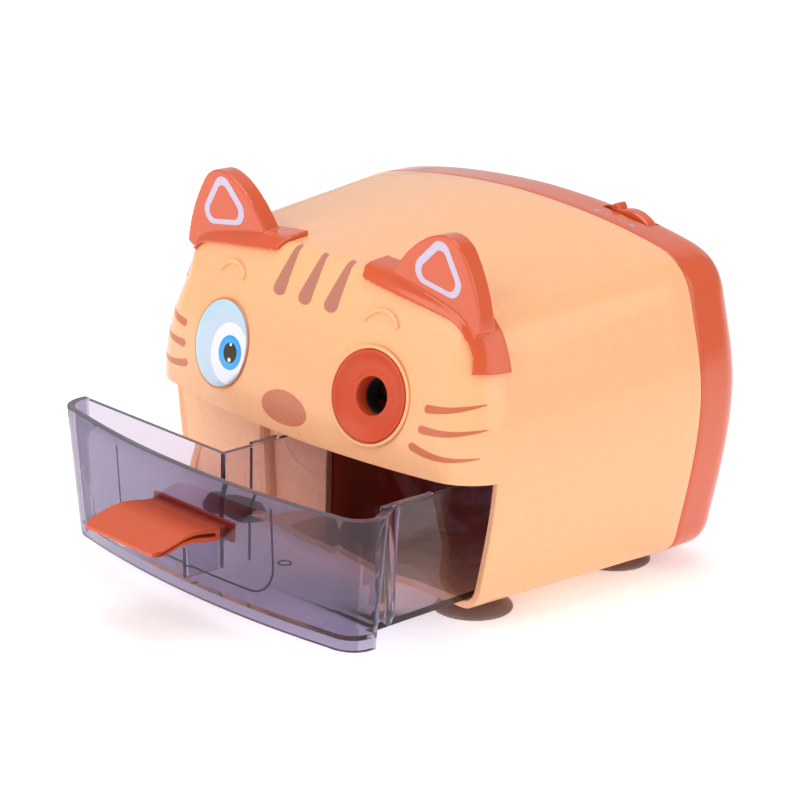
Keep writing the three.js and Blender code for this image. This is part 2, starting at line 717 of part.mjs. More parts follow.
function adjusterWheel() {
  const notches = [];
  for (let i = 0; i < 14; i += 1) {
    const angle = (i * Math.PI) / 7;
    const x = WHEEL_X + 11.3 * Math.sin(angle);
    const z = WHEEL_Z + 11.3 * Math.cos(angle);
    notches.push(rodY(0.8, 39, 45, x, z, 5));
  }
  const angle = THREE.MathUtils.degToRad(-26);
  const ridge = new THREE.BoxGeometry(2.4, 4.2, 4)
    .translate(0, 0, 11)
    .rotateY(angle)
    .translate(WHEEL_X, 42.05, WHEEL_Z);
  return join(
    cut(rodY(11, 39.9, 44.2, WHEEL_X, WHEEL_Z, 32), ...notches),
    solid(ridge),
    gearSlab(WHEEL_TEETH, 35.6, 40, WHEEL_X, WHEEL_Z, WHEEL_PHASE),
    rodY(2, 33.6, 48, WHEEL_X, WHEEL_Z, 16),
  );
}

function stopCam() {
  return cut(
    join(
      gearSlab(CAM_TEETH, 35.8, 39.3, AXIS_X, AXIS_Z, CAM_PHASE),
      rodY(6, 33.2, 36, AXIS_X, AXIS_Z),
    ),
    rodY(2.5, 32, 41, AXIS_X, AXIS_Z),
  );
}

function pencilStop() {
  const profile = [[0, 9.4], [0.7, 9.4], [0.8, 14.6], [1.9, 17], [1.9, 30.6], [4.2, 30.6], [4.2, 32.6], [2, 32.6],
    [2, 46.6], [0, 46.6]];
  const points = profile.map(([r, y]) => new THREE.Vector2(r, y));
  return solid(new THREE.LatheGeometry(points, 14).translate(AXIS_X, 0, AXIS_Z));
}

// ---------------------------------------------------------------- cutter head

// Frame along the cutter's own axis: below the pencil axis and tilted towards the tip.
const CUTTER_FRAME = new THREE.Matrix4()
  .makeRotationX(CUTTER_TILT)
  .setPosition(AXIS_X, 0, AXIS_Z - CUTTER_RADIAL);

function onCutter(geometry) {
  return solid(geometry.applyMatrix4(CUTTER_FRAME));
}

function cutterRod(radius, s0, s1, sides = 20) {
  const geometry = new THREE.CylinderGeometry(radius, radius, s1 - s0, sides);
  return onCutter(geometry.translate(0, (s0 + s1) / 2, 0));
}

const CUTTER_GEAR_S = -17.26;

function helicalCutter() {
  const flutes = 9;
  const points = [];
  for (let i = 0; i < flutes; i += 1) {
    const angle = (i * 2 * Math.PI) / flutes;
    points.push([4.9 * Math.cos(angle), 4.9 * Math.sin(angle)]);
    points.push([4.1 * Math.cos(angle + 0.12), 4.1 * Math.sin(angle + 0.12)]);
  }
  const length = 22;
  const geometry = new THREE.ExtrudeGeometry(polygon(points), {
    depth: length, steps: 7, bevelEnabled: false,
  });
  const place = geometry.attributes.position;
  for (let i = 0; i < place.count; i += 1) {
    const turn = (place.getZ(i) / length) * 1.4;
    const [x, y] = [place.getX(i), place.getY(i)];
    place.setX(i, x * Math.cos(turn) - y * Math.sin(turn));
    place.setY(i, x * Math.sin(turn) + y * Math.cos(turn));
  }
  geometry.rotateX(Math.PI / 2).translate(0, 11.6, 0);
  return cut(onCutter(geometry), cutterRod(1.75, -16, 16, 16));
}

function cutterGear() {
  const points = gearOutline(CUTTER_TEETH, 0.75, 1.2, GEAR_SLIP, -Math.PI / 2);
  const geometry = extrude(polygon(points), 3).rotateX(Math.PI / 2);
  geometry.translate(0, CUTTER_GEAR_S + 1.5, 0);
  return cut(onCutter(geometry), cutterRod(1.75, -22, -12, 16));
}

function ringGear() {
  const points = gearOutline(RING_TEETH, 1.35, 0.7, -GEAR_SLIP, -Math.PI / 2);
  const hole = slabY(polygon(points.map(([a, b]) => [a + AXIS_X, b + AXIS_Z])), -30, 0);
  return cut(rodY(20.6, -19.9, -14.6, AXIS_X, AXIS_Z, 40), hole);
}

function cutterCarrier() {
  const web = new THREE.Shape();
  web.absarc(AXIS_X, AXIS_Z, 12.4, 0.35, Math.PI - 0.35, false);
  web.absarc(AXIS_X, AXIS_Z, 8.8, Math.PI - 0.35, 0.35, true);
  return cut(
    join(
      rodY(13.4, -14.2, -12.2, AXIS_X, AXIS_Z, 32),
      rodY(12.4, 13.4, 16, AXIS_X, AXIS_Z, 32),
      slabY(web, -12.4, 13.6, 10),
      rodY(4.9, 15.8, 27.6, AXIS_X, AXIS_Z, 24),
    ),
    rodY(4.6, -15, -12, AXIS_X, AXIS_Z, 24),
    rodY(2.7, 12, 29, AXIS_X, AXIS_Z, 20),
    cutterRod(1.65, -25, 25, 16),
  );
}

function pencilGuide() {
  const profile = [[4.3, -41.2], [6.2, -41.2], [6.2, -25], [8.6, -25], [8.6, -23], [6.2, -23],
    [6.2, -20.3], [4.3, -20.3]];
  const tube = latheY(profile, AXIS_X, 0, AXIS_Z, 24);
  return cut(tube, box(AXIS_X - 2.4, AXIS_X + 2.4, -37, -27, AXIS_Z + 2, AXIS_Z + 8));
}

const LEVER_Y = -25.6;
const LEVER_Z = AXIS_Z + 14;

function switchLever() {
  const side = polygon([
    [LEVER_Y + 2, LEVER_Z - 1.4],
    [LEVER_Y + 2, LEVER_Z + 1.6],
    [LEVER_Y - 6, LEVER_Z + 1.6],
    [-33.6, AXIS_Z + 8.6],
    [-33.4, AXIS_Z + 2.8],
    [-31.6, AXIS_Z + 2.4],
    [-30, AXIS_Z + 3.6],
    [-30.4, AXIS_Z + 8.4],
    [LEVER_Y - 3, LEVER_Z - 1.4],
  ]);
  const pivot = new THREE.CylinderGeometry(1.5, 1.5, 9, 16)
    .rotateZ(Math.PI / 2)
    .translate(AXIS_X, LEVER_Y, LEVER_Z);
  return join(slabX(side, AXIS_X - 1.8, AXIS_X + 1.8), solid(pivot));
}

// ---------------------------------------------------------------- frame, motor and power

const PLATE_BOTTOM = 46.1;
const POSTS = [[6, 50.5], [54, 50.5], [6, 72], [54, 72]];

function frontPlate() {
  const [left, right, top] = [2, 57, 75.2];
  const plate = box(left, right, -22.7, -20.2, PLATE_BOTTOM, top);
  const tab = box(AXIS_X - 6, AXIS_X + 6, -22.7, -20.2, top - 1, LEVER_Z + 7);
  const cheeks = [-1, 1].map((side) => box(
    AXIS_X + side * 4.9 - 1, AXIS_X + side * 4.9 + 1, -28.4, -22.5, LEVER_Z - 6, LEVER_Z + 3,
  ));
  const pivot = new THREE.CylinderGeometry(1.8, 1.8, 14, 16)
    .rotateZ(Math.PI / 2)
    .translate(AXIS_X, LEVER_Y, LEVER_Z);
  return cut(
    join(plate, tab, ...cheeks),
    solid(pivot),
    rodY(6.5, -28, -19, AXIS_X, AXIS_Z),
    rodY(8.9, -28, -22.6, AXIS_X, AXIS_Z),
    ...POSTS.map(([x, z]) => rodY(1.3, -24, -19, x, z, 8)),
  );
}

function rearPlate() {
  const outline = polygon([
    [-46, PLATE_BOTTOM],
    [57, PLATE_BOTTOM],
    [57, 75.2],
    [-14, 75.2],
    [-20, 80],
    [-46, 80],
  ]);
  return cut(
    slabY(outline, 16.9, 19.3),
    rodY(8, 16, 20, AXIS_X, AXIS_Z),
    rodY(5.3, 16, 20, MOTOR_X, MOTOR_Z),
    rodY(1.75, 16, 20, IDLER_X, IDLER_Z, 16),
    ...motorScrewPlaces().map(([, x, z]) => rodY(1.6, 16, 20, x, z, 12)),
    ...POSTS.map(([x, z]) => rodY(1.3, 16, 20, x, z, 8)),
  );
}

function framePost(x, z) {
  return rodY(2.3, -19.9, 16.6, x, z, 12);
}

function motorScrewPlaces() {
  return [['left', MOTOR_X - 8, MOTOR_Z], ['right', MOTOR_X + 8, MOTOR_Z]];
}

function motorScrew(x, z) {
  return latheY([[0, 12.8], [1.3, 12.8], [1.3, 19.6], [2.7, 19.6], [2.7, 21], [0, 21]], x, 0, z, 12);
}

function motorCan() {
  const can = rodY(14, -24, 16.6, MOTOR_X, MOTOR_Z, 36);
  const flats = [
    box(MOTOR_X - 20, MOTOR_X + 20, -30, 20, MOTOR_Z + 11.6, MOTOR_Z + 20),
    box(MOTOR_X - 20, MOTOR_X + 20, -30, 20, MOTOR_Z - 20, MOTOR_Z - 11.6),
  ];
  return cut(
    join(cut(can, ...flats), rodY(5, 16, 18.8, MOTOR_X, MOTOR_Z)),
    rodY(1.5, 14, 20, MOTOR_X, MOTOR_Z, 16),
    ...motorScrewPlaces().map(([, x, z]) => rodY(1.6, 12, 18, x, z, 12)),
  );
}

function motorEndCap() {
  return join(
    rodY(12.6, -27.6, -24.3, MOTOR_X, MOTOR_Z, 28).intersect(
      box(MOTOR_X - 20, MOTOR_X + 20, -30, 0, MOTOR_Z - 11, MOTOR_Z + 11),
    ),
    rodY(4, -30, -27, MOTOR_X, MOTOR_Z, 16),
  );
}

function rearBush() {
  return latheY([[5.1, 16.4], [9.6, 16.4], [9.6, 16.6], [7.7, 16.6], [7.7, 20.6], [5.1, 20.6]],
    AXIS_X, 0, AXIS_Z, 24);
}

function idlerAxle() {
  return latheY([[0, 16.4], [1.5, 16.4], [1.5, 31.8], [3, 31.8], [3, 33.2], [0, 33.2]],
    IDLER_X, 0, IDLER_Z, 16);
}

function cutterPin() {
  const profile = [[0, -19.6], [1.4, -19.6], [1.4, 15.4], [0, 15.4]];
  const points = profile.map(([r, y]) => new THREE.Vector2(r, y));
  return onCutter(new THREE.LatheGeometry(points, 16));
}

const CELL_RADIUS = 7.2;
const CELL_LENGTH = 49;
const CELL_X = [-34.9, -19.5];
const CELL_Z = [15.6, 31.4];
const CELL_FRONT = -28;

function batteryBox() {
  const hollow = box(DOOR.x0 + 0.4, DOOR.x1 - 0.4, DOOR.y0 + 0.6, DOOR.y1 - 0.6, 0, 40);
  return cut(
    box(DOOR.x0 - 1, DOOR.x1 + 1, DOOR.y0 - 1.2, DOOR.y1 + 1.2, 7.8, 41.6),
    hollow,
  );
}

function cell(x, z) {
  return latheY([
    [0, CELL_FRONT], [CELL_RADIUS, CELL_FRONT], [CELL_RADIUS, CELL_FRONT + CELL_LENGTH],
    [2.7, CELL_FRONT + CELL_LENGTH], [2.7, CELL_FRONT + CELL_LENGTH + 1.4],
    [0, CELL_FRONT + CELL_LENGTH + 1.4],
  ], x, 0, z, 14);
}

function batteryDoor() {
  return cut(
    box(
      DOOR.x0 + GAP, DOOR.x1 - GAP, DOOR.y0 + GAP, DOOR.y1 - GAP, BODY_BOTTOM, BODY_BOTTOM + 2,
    ),
    rodZ(2, 0, 10, -29, DOOR.y1 - 4, 12),
    box(-34, -24, DOOR.y0 + 3, DOOR.y0 + 5, 0, BODY_BOTTOM + 0.8),
    box(-34, -24, DOOR.y0 + 7, DOOR.y0 + 9, 0, BODY_BOTTOM + 0.8),
  );
}

function circuitBoard() {
  return join(
    box(-55, -10, -30, 8, 43, 44.4),
    box(-52, -44, -26, -18, 44.2, 50),
    rodZ(3, 44.2, 49.5, -50, -8, 12),
    rodZ(3, 44.2, 49.5, -50, 1, 12),
  );
}

function dcJack() {
  return cut(
    join(
      rodY(5.1, 44, COVER_BACK - 0.2, JACK_X, JACK_Z),
      box(JACK_X - 5.6, JACK_X + 5.6, 34, 45, JACK_Z - 5.6, JACK_Z + 5.6),
    ),
    rodY(2.9, 38, COVER_BACK + 1, JACK_X, JACK_Z, 16),
  );
}

function dcPin() {
  return rodY(0.9, 38.3, COVER_BACK - 1.6, JACK_X, JACK_Z, 12);
}

function pencilSwitch() {
  return join(
    box(AXIS_X - 5, AXIS_X + 5, -39.2, -28.5, LEVER_Z + 3.6, LEVER_Z + 9.2),
    box(AXIS_X - 5, AXIS_X + 5, -29, -23, LEVER_Z + 4.6, LEVER_Z + 7),
  );
}

const BUTTON_Z = 27;
const BUTTON_X = 41;

function drawerSwitch() {
  return cut(
    box(BUTTON_X - 6, BUTTON_X + 6, 19.4, 23, BUTTON_Z - 8, BUTTON_Z + 4),
    rodY(2.3, 18, 22, BUTTON_X, BUTTON_Z, 16),
  );
}

function drawerButton() {
  return rodY(1.9, 16.9, 20.6, BUTTON_X, BUTTON_Z, 14);
}

// ---------------------------------------------------------------- the whole object

const pieces = [
  piece('main_shell', mainShell(), PEACH),
  piece('rear_cover', rearCover(), ORANGE),
  piece('ear_cap_left', earCap(-1), ORANGE),
  piece('ear_cap_right', earCap(1), ORANGE),
  piece('eye_disc', eyeDisc(), EYE_WHITE),
  piece('pencil_ring', pencilRing(), RING_RED),
  piece('drawer_bin', drawerBin(), SMOKE),
  piece('drawer_handle', drawerHandle(), ORANGE),
  piece('bay_liner', bayLiner(), ORANGE),
  piece('front_plate', frontPlate(), BLACK),
  piece('rear_plate', rearPlate(), BLACK),
  piece('ring_gear', ringGear(), GEAR_WHITE),
  piece('cutter_carrier', cutterCarrier(), GEAR_WHITE),
  piece('helical_cutter', helicalCutter(), STEEL),
  piece('cutter_gear', cutterGear(), STEEL),
  piece('cutter_pin', cutterPin(), STEEL),
  piece('carrier_gear', carrierGear(), GEAR_WHITE),
  piece('rear_bush', rearBush(), BRASS),
  piece('idler_gear', idlerGear(), GEAR_WHITE),
  piece('idler_axle', idlerAxle(), STEEL),
  piece('motor_can', motorCan(), STEEL),
  piece('motor_end_cap', motorEndCap(), BLACK),
  piece('motor_pinion', motorPinion(), BRASS),
  piece('pencil_guide', pencilGuide(), BLACK),
  piece('switch_lever', switchLever(), GEAR_WHITE),
  piece('pencil_switch', pencilSwitch(), BLACK),
  piece('drawer_switch', drawerSwitch(), BLACK),
  piece('drawer_button', drawerButton(), RING_RED),
  piece('adjuster_wheel', adjusterWheel(), ORANGE),
  piece('stop_cam', stopCam(), GEAR_WHITE),
  piece('pencil_stop', pencilStop(), STEEL),
  piece('battery_box', batteryBox(), BLACK),
  piece('battery_door', batteryDoor(), PEACH),
  piece('circuit_board', circuitBoard(), BOARD_GREEN),
  piece('dc_jack', dcJack(), BLACK),
  piece('dc_jack_pin', dcPin(), BRASS),
];

for (const [name, x, y] of footPlaces()) pieces.push(piece(`foot_${name}`, foot(x, y), FOOT_GREY));
for (const [name, x, z] of SCREW_PLACES) {
  pieces.push(piece(`cover_screw_${name}`, coverScrew(x, z), STEEL));
}
for (const [name, x, z] of motorScrewPlaces()) {
  pieces.push(piece(`motor_screw_${name}`, motorScrew(x, z), STEEL));
}
POSTS.forEach(([x, z], i) => pieces.push(piece(`frame_post_${i + 1}`, framePost(x, z), STEEL)));
CELL_Z.forEach((z, row) => CELL_X.forEach((x, column) => {
  pieces.push(piece(`cell_${row * 2 + column + 1}`, cell(x, z), CELL_BLUE));
}));

// The origin is the middle of the footprint, with the drawer pulled out.
const sharpener = new THREE.Group();
sharpener.add(...pieces);
const extent = new THREE.Box3().setFromObject(sharpener);
sharpener.position.y = -(extent.min.y + extent.max.y) / 2;

export default sharpener;
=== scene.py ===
"""Looks of a desktop pencil sharpener with a plain animal face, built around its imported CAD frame."""

import sys

import json
import logging
import math
from collections.abc import Callable, Sequence
from dataclasses import dataclass
from enum import Enum
from itertools import accumulate
from typing import ClassVar

import bmesh
import bpy
from mathutils import Matrix, Vector
from mathutils.bvhtree import BVHTree


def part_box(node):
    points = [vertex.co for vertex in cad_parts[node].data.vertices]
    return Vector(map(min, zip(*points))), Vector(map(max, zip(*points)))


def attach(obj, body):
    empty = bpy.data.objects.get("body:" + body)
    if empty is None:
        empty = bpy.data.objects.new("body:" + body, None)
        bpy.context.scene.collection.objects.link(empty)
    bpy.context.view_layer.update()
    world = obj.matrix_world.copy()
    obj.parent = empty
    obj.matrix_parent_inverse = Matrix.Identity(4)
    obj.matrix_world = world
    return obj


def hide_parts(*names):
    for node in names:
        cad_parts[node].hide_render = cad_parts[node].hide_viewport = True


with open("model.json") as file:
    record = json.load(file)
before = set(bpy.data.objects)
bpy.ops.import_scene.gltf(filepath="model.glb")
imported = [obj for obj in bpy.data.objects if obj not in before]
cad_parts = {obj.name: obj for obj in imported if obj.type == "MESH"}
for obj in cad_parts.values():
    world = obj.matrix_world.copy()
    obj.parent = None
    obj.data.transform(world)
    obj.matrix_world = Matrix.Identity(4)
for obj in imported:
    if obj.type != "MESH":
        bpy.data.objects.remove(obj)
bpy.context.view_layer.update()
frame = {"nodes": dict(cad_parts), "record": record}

LOG = logging.getLogger("sharpener")

Flat = tuple[float, float]
Point = tuple[float, float, float]
Colour = tuple[float, float, float]
Line = Sequence[Flat]
Piece = bpy.types.Object
Socket = bpy.types.NodeSocket
Material = bpy.types.Material

MM = 0.001
SEAM_Y = 31.1
SHIFT_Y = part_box("main_shell")[1].y / MM - SEAM_Y

# ---- shared form of the housing

BODY_BOTTOM = 5.0
WIDTH_TAPER = 0.00122
HEIGHT_TAPER = 0.00099
JAMB_Y = -39.0
LIP_Z = 42.5
FACE_CENTRE_Z = 60.0
FACE_Y = -55.6
FACE_PLAN = 1 / 520
FACE_LEAN = 0.0065
EDGE_RADIUS_TOP = 1.6
EDGE_RADIUS_SIDE = 12.0
AXIS_X = 30.0
AXIS_Z = 59.9
OUTLINE_CURVES: tuple[tuple[Flat, Flat, Flat], ...] = (
    ((20, 96.2), (38, 94.2), (52, 91.2)),
    ((60.5, 89.6), (64.6, 85.2), (66.4, 78)),
    ((68.4, 70), (71.7, 61), (71.7, 51)),
    ((71.7, 38), (68.4, 24), (66, 13)),
    ((65.2, 8.4), (63, 5), (58.5, 5)),
)
CURVE_STEPS = (20, 10, 10, 14, 8)
LIP_CURVE = 3
CROWN: tuple[float, float] = (0.0, 96.4)


class Body(str, Enum):
    """The moving bodies that visible pieces ride on."""

    HOUSING = "housing"
    DRAWER = "drawer"
    ADJUSTER = "adjuster"


SIDES = ((-1, "left"), (1, "right"))


class Slot(str, Enum):
    """The record's material slots."""

    SHELL = "housing_shell"
    TRIM = "trim_orange"
    RING = "ring_red"
    SMOKE = "smoke_clear"
    EYE = "eye_white"
    FOOT = "foot_soft"
    STEEL = "steel"
    BLACK = "black_plastic"


def srgb(red: int, green: int, blue: int) -> Colour:
    """Turn an 8-bit display colour into linear light.

    Args:
        red: red, 0 to 255.
        green: green, 0 to 255.
        blue: blue, 0 to 255.

    Returns:
        The linear colour.
    """
    linear = []
    for value in (red, green, blue):
        share = value / 255
        linear.append(share / 12.92 if share <= 0.04045 else ((share + 0.055) / 1.055) ** 2.4)
    return linear[0], linear[1], linear[2]


def bezier(start: Flat, first: Flat, second: Flat, end: Flat, share: float) -> Flat:
    """Find a point on a cubic curve.

    Args:
        start: first end.
        first: control point near the first end.
        second: control point near the second end.
        end: second end.
        share: place along the curve, 0 to 1.

    Returns:
        The point.
    """
    rest = 1 - share
    weights = (rest**3, 3 * rest * rest * share, 3 * rest * share * share, share**3)
    pairs = list(zip(weights, (start, first, second, end), strict=True))
    return sum(w * p[0] for w, p in pairs), sum(w * p[1] for w, p in pairs)


def face_y(x: float, z: float) -> float:
    """Give the depth of the crowned face at a place, in millimetres."""
    above = max(0.0, z - LIP_Z)
    return FACE_Y + x * x * FACE_PLAN + above * above * FACE_LEAN


@dataclass(frozen=True)
class OutlinePoint:
    """A point of the housing's section with its outward direction."""

    x: float
    z: float
    out_x: float
    out_z: float

    def at_station(self, y: float, inset: float = 0.0) -> Flat:
        """Give the section's point at a station nearer to the face.

        Args:
            y: the station.
            inset: distance moved inwards.

        Returns:
            The point in X and Z.
        """
        width = 1 - WIDTH_TAPER * (SEAM_Y - y)
        height = 1 - HEIGHT_TAPER * (SEAM_Y - y)
        x = self.x * width - self.out_x * inset
        z = BODY_BOTTOM + (self.z - BODY_BOTTOM) * height - self.out_z * inset
        return x, z

    def edge_radius(self) -> float:
        """Give the rounding between wall and face at this point."""
        return EDGE_RADIUS_TOP + (EDGE_RADIUS_SIDE - EDGE_RADIUS_TOP) * self.out_x**2


@dataclass(frozen=True)
class Outline:
    """The housing's section as a ring that starts at the left end of the lip."""

    ring: tuple[OutlinePoint, ...]
    hood_count: int

    @staticmethod
    def lip_height() -> float:
        """Give the height at the seam that reaches the lip's height at the jamb."""
        return BODY_BOTTOM + (LIP_Z - BODY_BOTTOM) / (1 - HEIGHT_TAPER * (SEAM_Y - JAMB_Y))

    @classmethod
    def make(cls) -> "Outline":
        """Sample the section.

        Returns:
            The ring, clockwise seen from the front, with the lip's ends as points of it.
        """
        right: list[Flat] = [CROWN]
        start, lip_index = CROWN, 0
        for segment, count in zip(OUTLINE_CURVES, CURVE_STEPS, strict=True):
            shares = [step / count for step in range(1, count + 1)]
            if segment is OUTLINE_CURVES[LIP_CURVE]:
                low, high = 0.0, 0.5
                for _ in range(40):
                    middle = (low + high) / 2
                    above = bezier(start, *segment, middle)[1] > cls.lip_height()
                    low, high = (middle, high) if above else (low, middle)
                shares = [low * step / 3 for step in range(1, 4)]
                shares += [low + (1 - low) * step / 12 for step in range(1, 13)]
                lip_index = len(right) + 2
            right.extend(bezier(start, *segment, share) for share in shares)
            start = segment[2]
        right.extend((start[0] * (1 - step / 10), BODY_BOTTOM) for step in range(1, 11))
        left = [(-x, z) for x, z in right]
        points = [
            *reversed(left[1 : lip_index + 1]),
            *right,
            *reversed(left[lip_index + 1 : -1]),
        ]
        ring = []
        for i, (x, z) in enumerate(points):
            before, after = points[i - 1], points[(i + 1) % len(points)]
            along = Vector((after[0] - before[0], after[1] - before[1])).normalized()
            ring.append(OutlinePoint(x, z, -along.y, along.x))
        return cls(tuple(ring), 2 * lip_index + 1)


OUTLINE = Outline.make()


# ---- mesh helpers


def to_frame(point: Sequence[float]) -> Vector:
    """Turn a point in millimetres about the seam frame into the row frame."""
    return Vector((point[0] * MM, (point[1] + SHIFT_Y) * MM, point[2] * MM))


def new_piece(
    name: str, points: Sequence[Sequence[float]], faces: Sequence[Sequence[int]], keep_order: bool = False
) -> Piece:
    """Make a mesh object whose place is in its mesh.

    Args:
        name: name of the piece.
        points: corners in millimetres.
        faces: corner numbers of each face.
        keep_order: leave the faces turned as they are listed.

    Returns:
        The object, with doubles merged and its faces outwards.
    """
    mesh = bpy.data.meshes.new(name)
    mesh.from_pydata([to_frame(p) for p in points], [], [list(f) for f in faces])
    work = bmesh.new()
    work.from_mesh(mesh)
    bmesh.ops.remove_doubles(work, verts=work.verts, dist=2e-6)
    bmesh.ops.dissolve_degenerate(work, edges=work.edges, dist=1e-7)
    if not keep_order:
        bmesh.ops.recalc_face_normals(work, faces=work.faces)
    work.to_mesh(mesh)
    work.free()
    piece = bpy.data.objects.new(name, mesh)
    bpy.context.scene.collection.objects.link(piece)
    return piece


def bake_modifiers(piece: Piece) -> None:
    """Turn a piece's modifiers into its plain mesh."""
    graph = bpy.context.evaluated_depsgraph_get()
    mesh = bpy.data.meshes.new_from_object(piece.evaluated_get(graph), depsgraph=graph)
    piece.modifiers.clear()
    piece.data = mesh


def discard(*pieces: Piece) -> None:
    """Remove helper objects."""
    for piece in pieces:
        bpy.data.objects.remove(piece)


def combine(piece: Piece, tool: Piece, operation: str = "DIFFERENCE") -> None:
    """Cut, join or intersect a piece with a tool and discard the tool.

    Args:
        piece: the piece that is changed.
        tool: the closed tool.
        operation: name of the Boolean operation.
    """
    for solver in ("MANIFOLD", "EXACT"):
        change = piece.modifiers.new("combine", "BOOLEAN")
        change.operation = operation
        change.object = tool
        change.solver = solver
        graph = bpy.context.evaluated_depsgraph_get()
        mesh = bpy.data.meshes.new_from_object(piece.evaluated_get(graph), depsgraph=graph)
        piece.modifiers.clear()
        if len(mesh.polygons) > 0 and len(mesh.polygons) != len(piece.data.polygons):
            piece.data = mesh
            break
    discard(tool)


def round_edges(piece: Piece, width: float, angle: float = 50, segments: int = 3) -> None:
    """Round a piece's sharp edges.

    Args:
        piece: the piece.
        width: size of the rounding in millimetres.
        angle: edges sharper than this many degrees are rounded.
        segments: steps of the rounding.
    """
    bevel = piece.modifiers.new("edges", "BEVEL")
    bevel.width = width * MM
    bevel.segments = segments
    bevel.limit_method = "ANGLE"
    bevel.angle_limit = math.radians(angle)
    bevel.use_clamp_overlap = True
    bake_modifiers(piece)


def thicken(piece: Piece, wall: float) -> None:
    """Give an open sheet a wall of this many millimetres, inwards."""
    solid = piece.modifiers.new("wall", "SOLIDIFY")
    solid.thickness = wall * MM
    solid.offset = -1
    solid.use_even_offset = False
    bake_modifiers(piece)


def smooth(piece: Piece, angle: float = 38) -> None:
    """Shade a piece smoothly, with its real corners sharp."""
    piece.data.shade_smooth()
    piece.data.set_sharp_from_angle(angle=math.radians(angle))


def strip_faces(start: int, width: int, next_start: int, closed: bool) -> list[tuple[int, ...]]:
    """List the quads between two rows of points.

    Args:
        start: number of the first row's first point.
        width: points in a row.
        next_start: number of the second row's first point.
        closed: whether the rows are rings.

    Returns:
        The faces.
    """
    last = width if closed else width - 1
    return [
        (start + i, start + (i + 1) % width, next_start + (i + 1) % width, next_start + i)
        for i in range(last)
    ]


def loft(
    name: str, rows: Sequence[Sequence[Sequence[float]]], closed: bool = True, caps: bool = True
) -> Piece:
    """Make a skin over rows of points.

    Args:
        name: name of the piece.
        rows: rows with the same number of points.
        closed: whether each row is a ring.
        caps: whether the first and last rings are filled.

    Returns:
        The piece.
    """
    width = len(rows[0])
    points = [p for row in rows for p in row]
    faces: list[tuple[int, ...]] = []
    for i in range(len(rows) - 1):
        faces += strip_faces(i * width, width, (i + 1) * width, closed)
    if caps:
        faces.append(tuple(range(width)))
        faces.append(tuple(reversed(range((len(rows) - 1) * width, len(rows) * width))))
    return new_piece(name, points, faces)


def block(name: str, x: Flat, y: Flat, z: Flat) -> Piece:
    """Make a rectangular tool from its limits in millimetres."""
    lower = [(x[0], y[0], z[0]), (x[1], y[0], z[0]), (x[1], y[1], z[0]), (x[0], y[1], z[0])]
    upper = [(px, py, z[1]) for px, py, _ in lower]
    return loft(name, [lower, upper])


def extrude_xz(name: str, outline: Line, y0: float, y1: float) -> Piece:
    """Make a slab from an outline in X and Z, standing from y0 to y1."""
    return loft(name, [[(x, y0, z) for x, z in outline], [(x, y1, z) for x, z in outline]])


def extrude_xy(name: str, outline: Line, z0: float, z1: float) -> Piece:
    """Make a slab from an outline in X and Y, standing from z0 to z1."""
    return loft(name, [[(x, y, z0) for x, y in outline], [(x, y, z1) for x, y in outline]])


def turned(name: str, profile: Line, place: Matrix, segments: int = 96, closed: bool = True) -> Piece:
    """Turn a profile of radius and height about a frame's Z axis.

    Args:
        name: name of the piece.
        profile: radius and height of each point.
        place: frame in millimetres, whose Z axis is the turning axis.
        segments: steps round the axis.
        closed: whether the profile's ends meet.

    Returns:
        The piece.
    """
    rows = []
    loop = [*profile, profile[0]] if closed else list(profile)
    for radius, height in loop:
        row = []
        for step in range(segments):
            angle = 2 * math.pi * step / segments
            row.append(place @ Vector((radius * math.cos(angle), radius * math.sin(angle), height)))
        rows.append(row)
    return loft(name, rows, caps=False)


def lean_out(piece: Piece, slope: float) -> None:
    """Shear a piece so that it moves along X with height by slope, held at the drawer's rim."""
    for vertex in piece.data.vertices:
        vertex.co.x -= (40.5 * MM - vertex.co.z) * slope


def axis_frame(origin: Point, direction: Point) -> Matrix:
    """Give a frame at origin whose Z axis points along direction."""
    turn = Vector((0, 0, 1)).rotation_difference(Vector(direction))
    return Matrix.Translation(Vector(origin)) @ turn.to_matrix().to_4x4()


def face_frame(x: float, z: float) -> Matrix:
    """Give the frame that stands out of the face at a place."""
    slope_x = 2 * x * FACE_PLAN
    slope_z = 2 * max(0.0, z - LIP_Z) * FACE_LEAN
    return axis_frame((x, face_y(x, z), z), (slope_x, -1, slope_z))


def subdivided(line: Line, step: float) -> list[Flat]:
    """Add points to a line's long parts.

    Args:
        line: the line's points.
        step: longest distance between two points.

    Returns:
        The denser line.
    """
    dense: list[Flat] = [line[0]]
    for start, end in zip(line, line[1:], strict=False):
        count = max(1, math.ceil(math.dist(start, end) / step))
        dense += [tuple(Vector(start).lerp(Vector(end), i / count)) for i in range(1, count + 1)]
    return dense


def rounded_loop(corners: Line, radius: float, steps: int = 8) -> list[Flat]:
    """Round a polygon's corners.

    Args:
        corners: the polygon.
        radius: rounding of every corner.
        steps: points on each rounding.

    Returns:
        The loop's points.
    """
    loop: list[Flat] = []
    for i, corner in enumerate(corners):
        here = Vector(corner)
        before = (Vector(corners[i - 1]) - here).normalized()
        after = (Vector(corners[(i + 1) % len(corners)]) - here).normalized()
        half = before.angle(after) / 2
        reach = radius / math.tan(half)
        start, end = here + before * reach, here + after * reach
        centre = here + (before + after).normalized() * (radius / math.sin(half))
        for step in range(steps + 1):
            share = step / steps
            spoke = (start - centre).lerp(end - centre, share).normalized() * radius
            loop.append((centre.x + spoke.x, centre.y + spoke.y))
    return loop


# ---- finishes


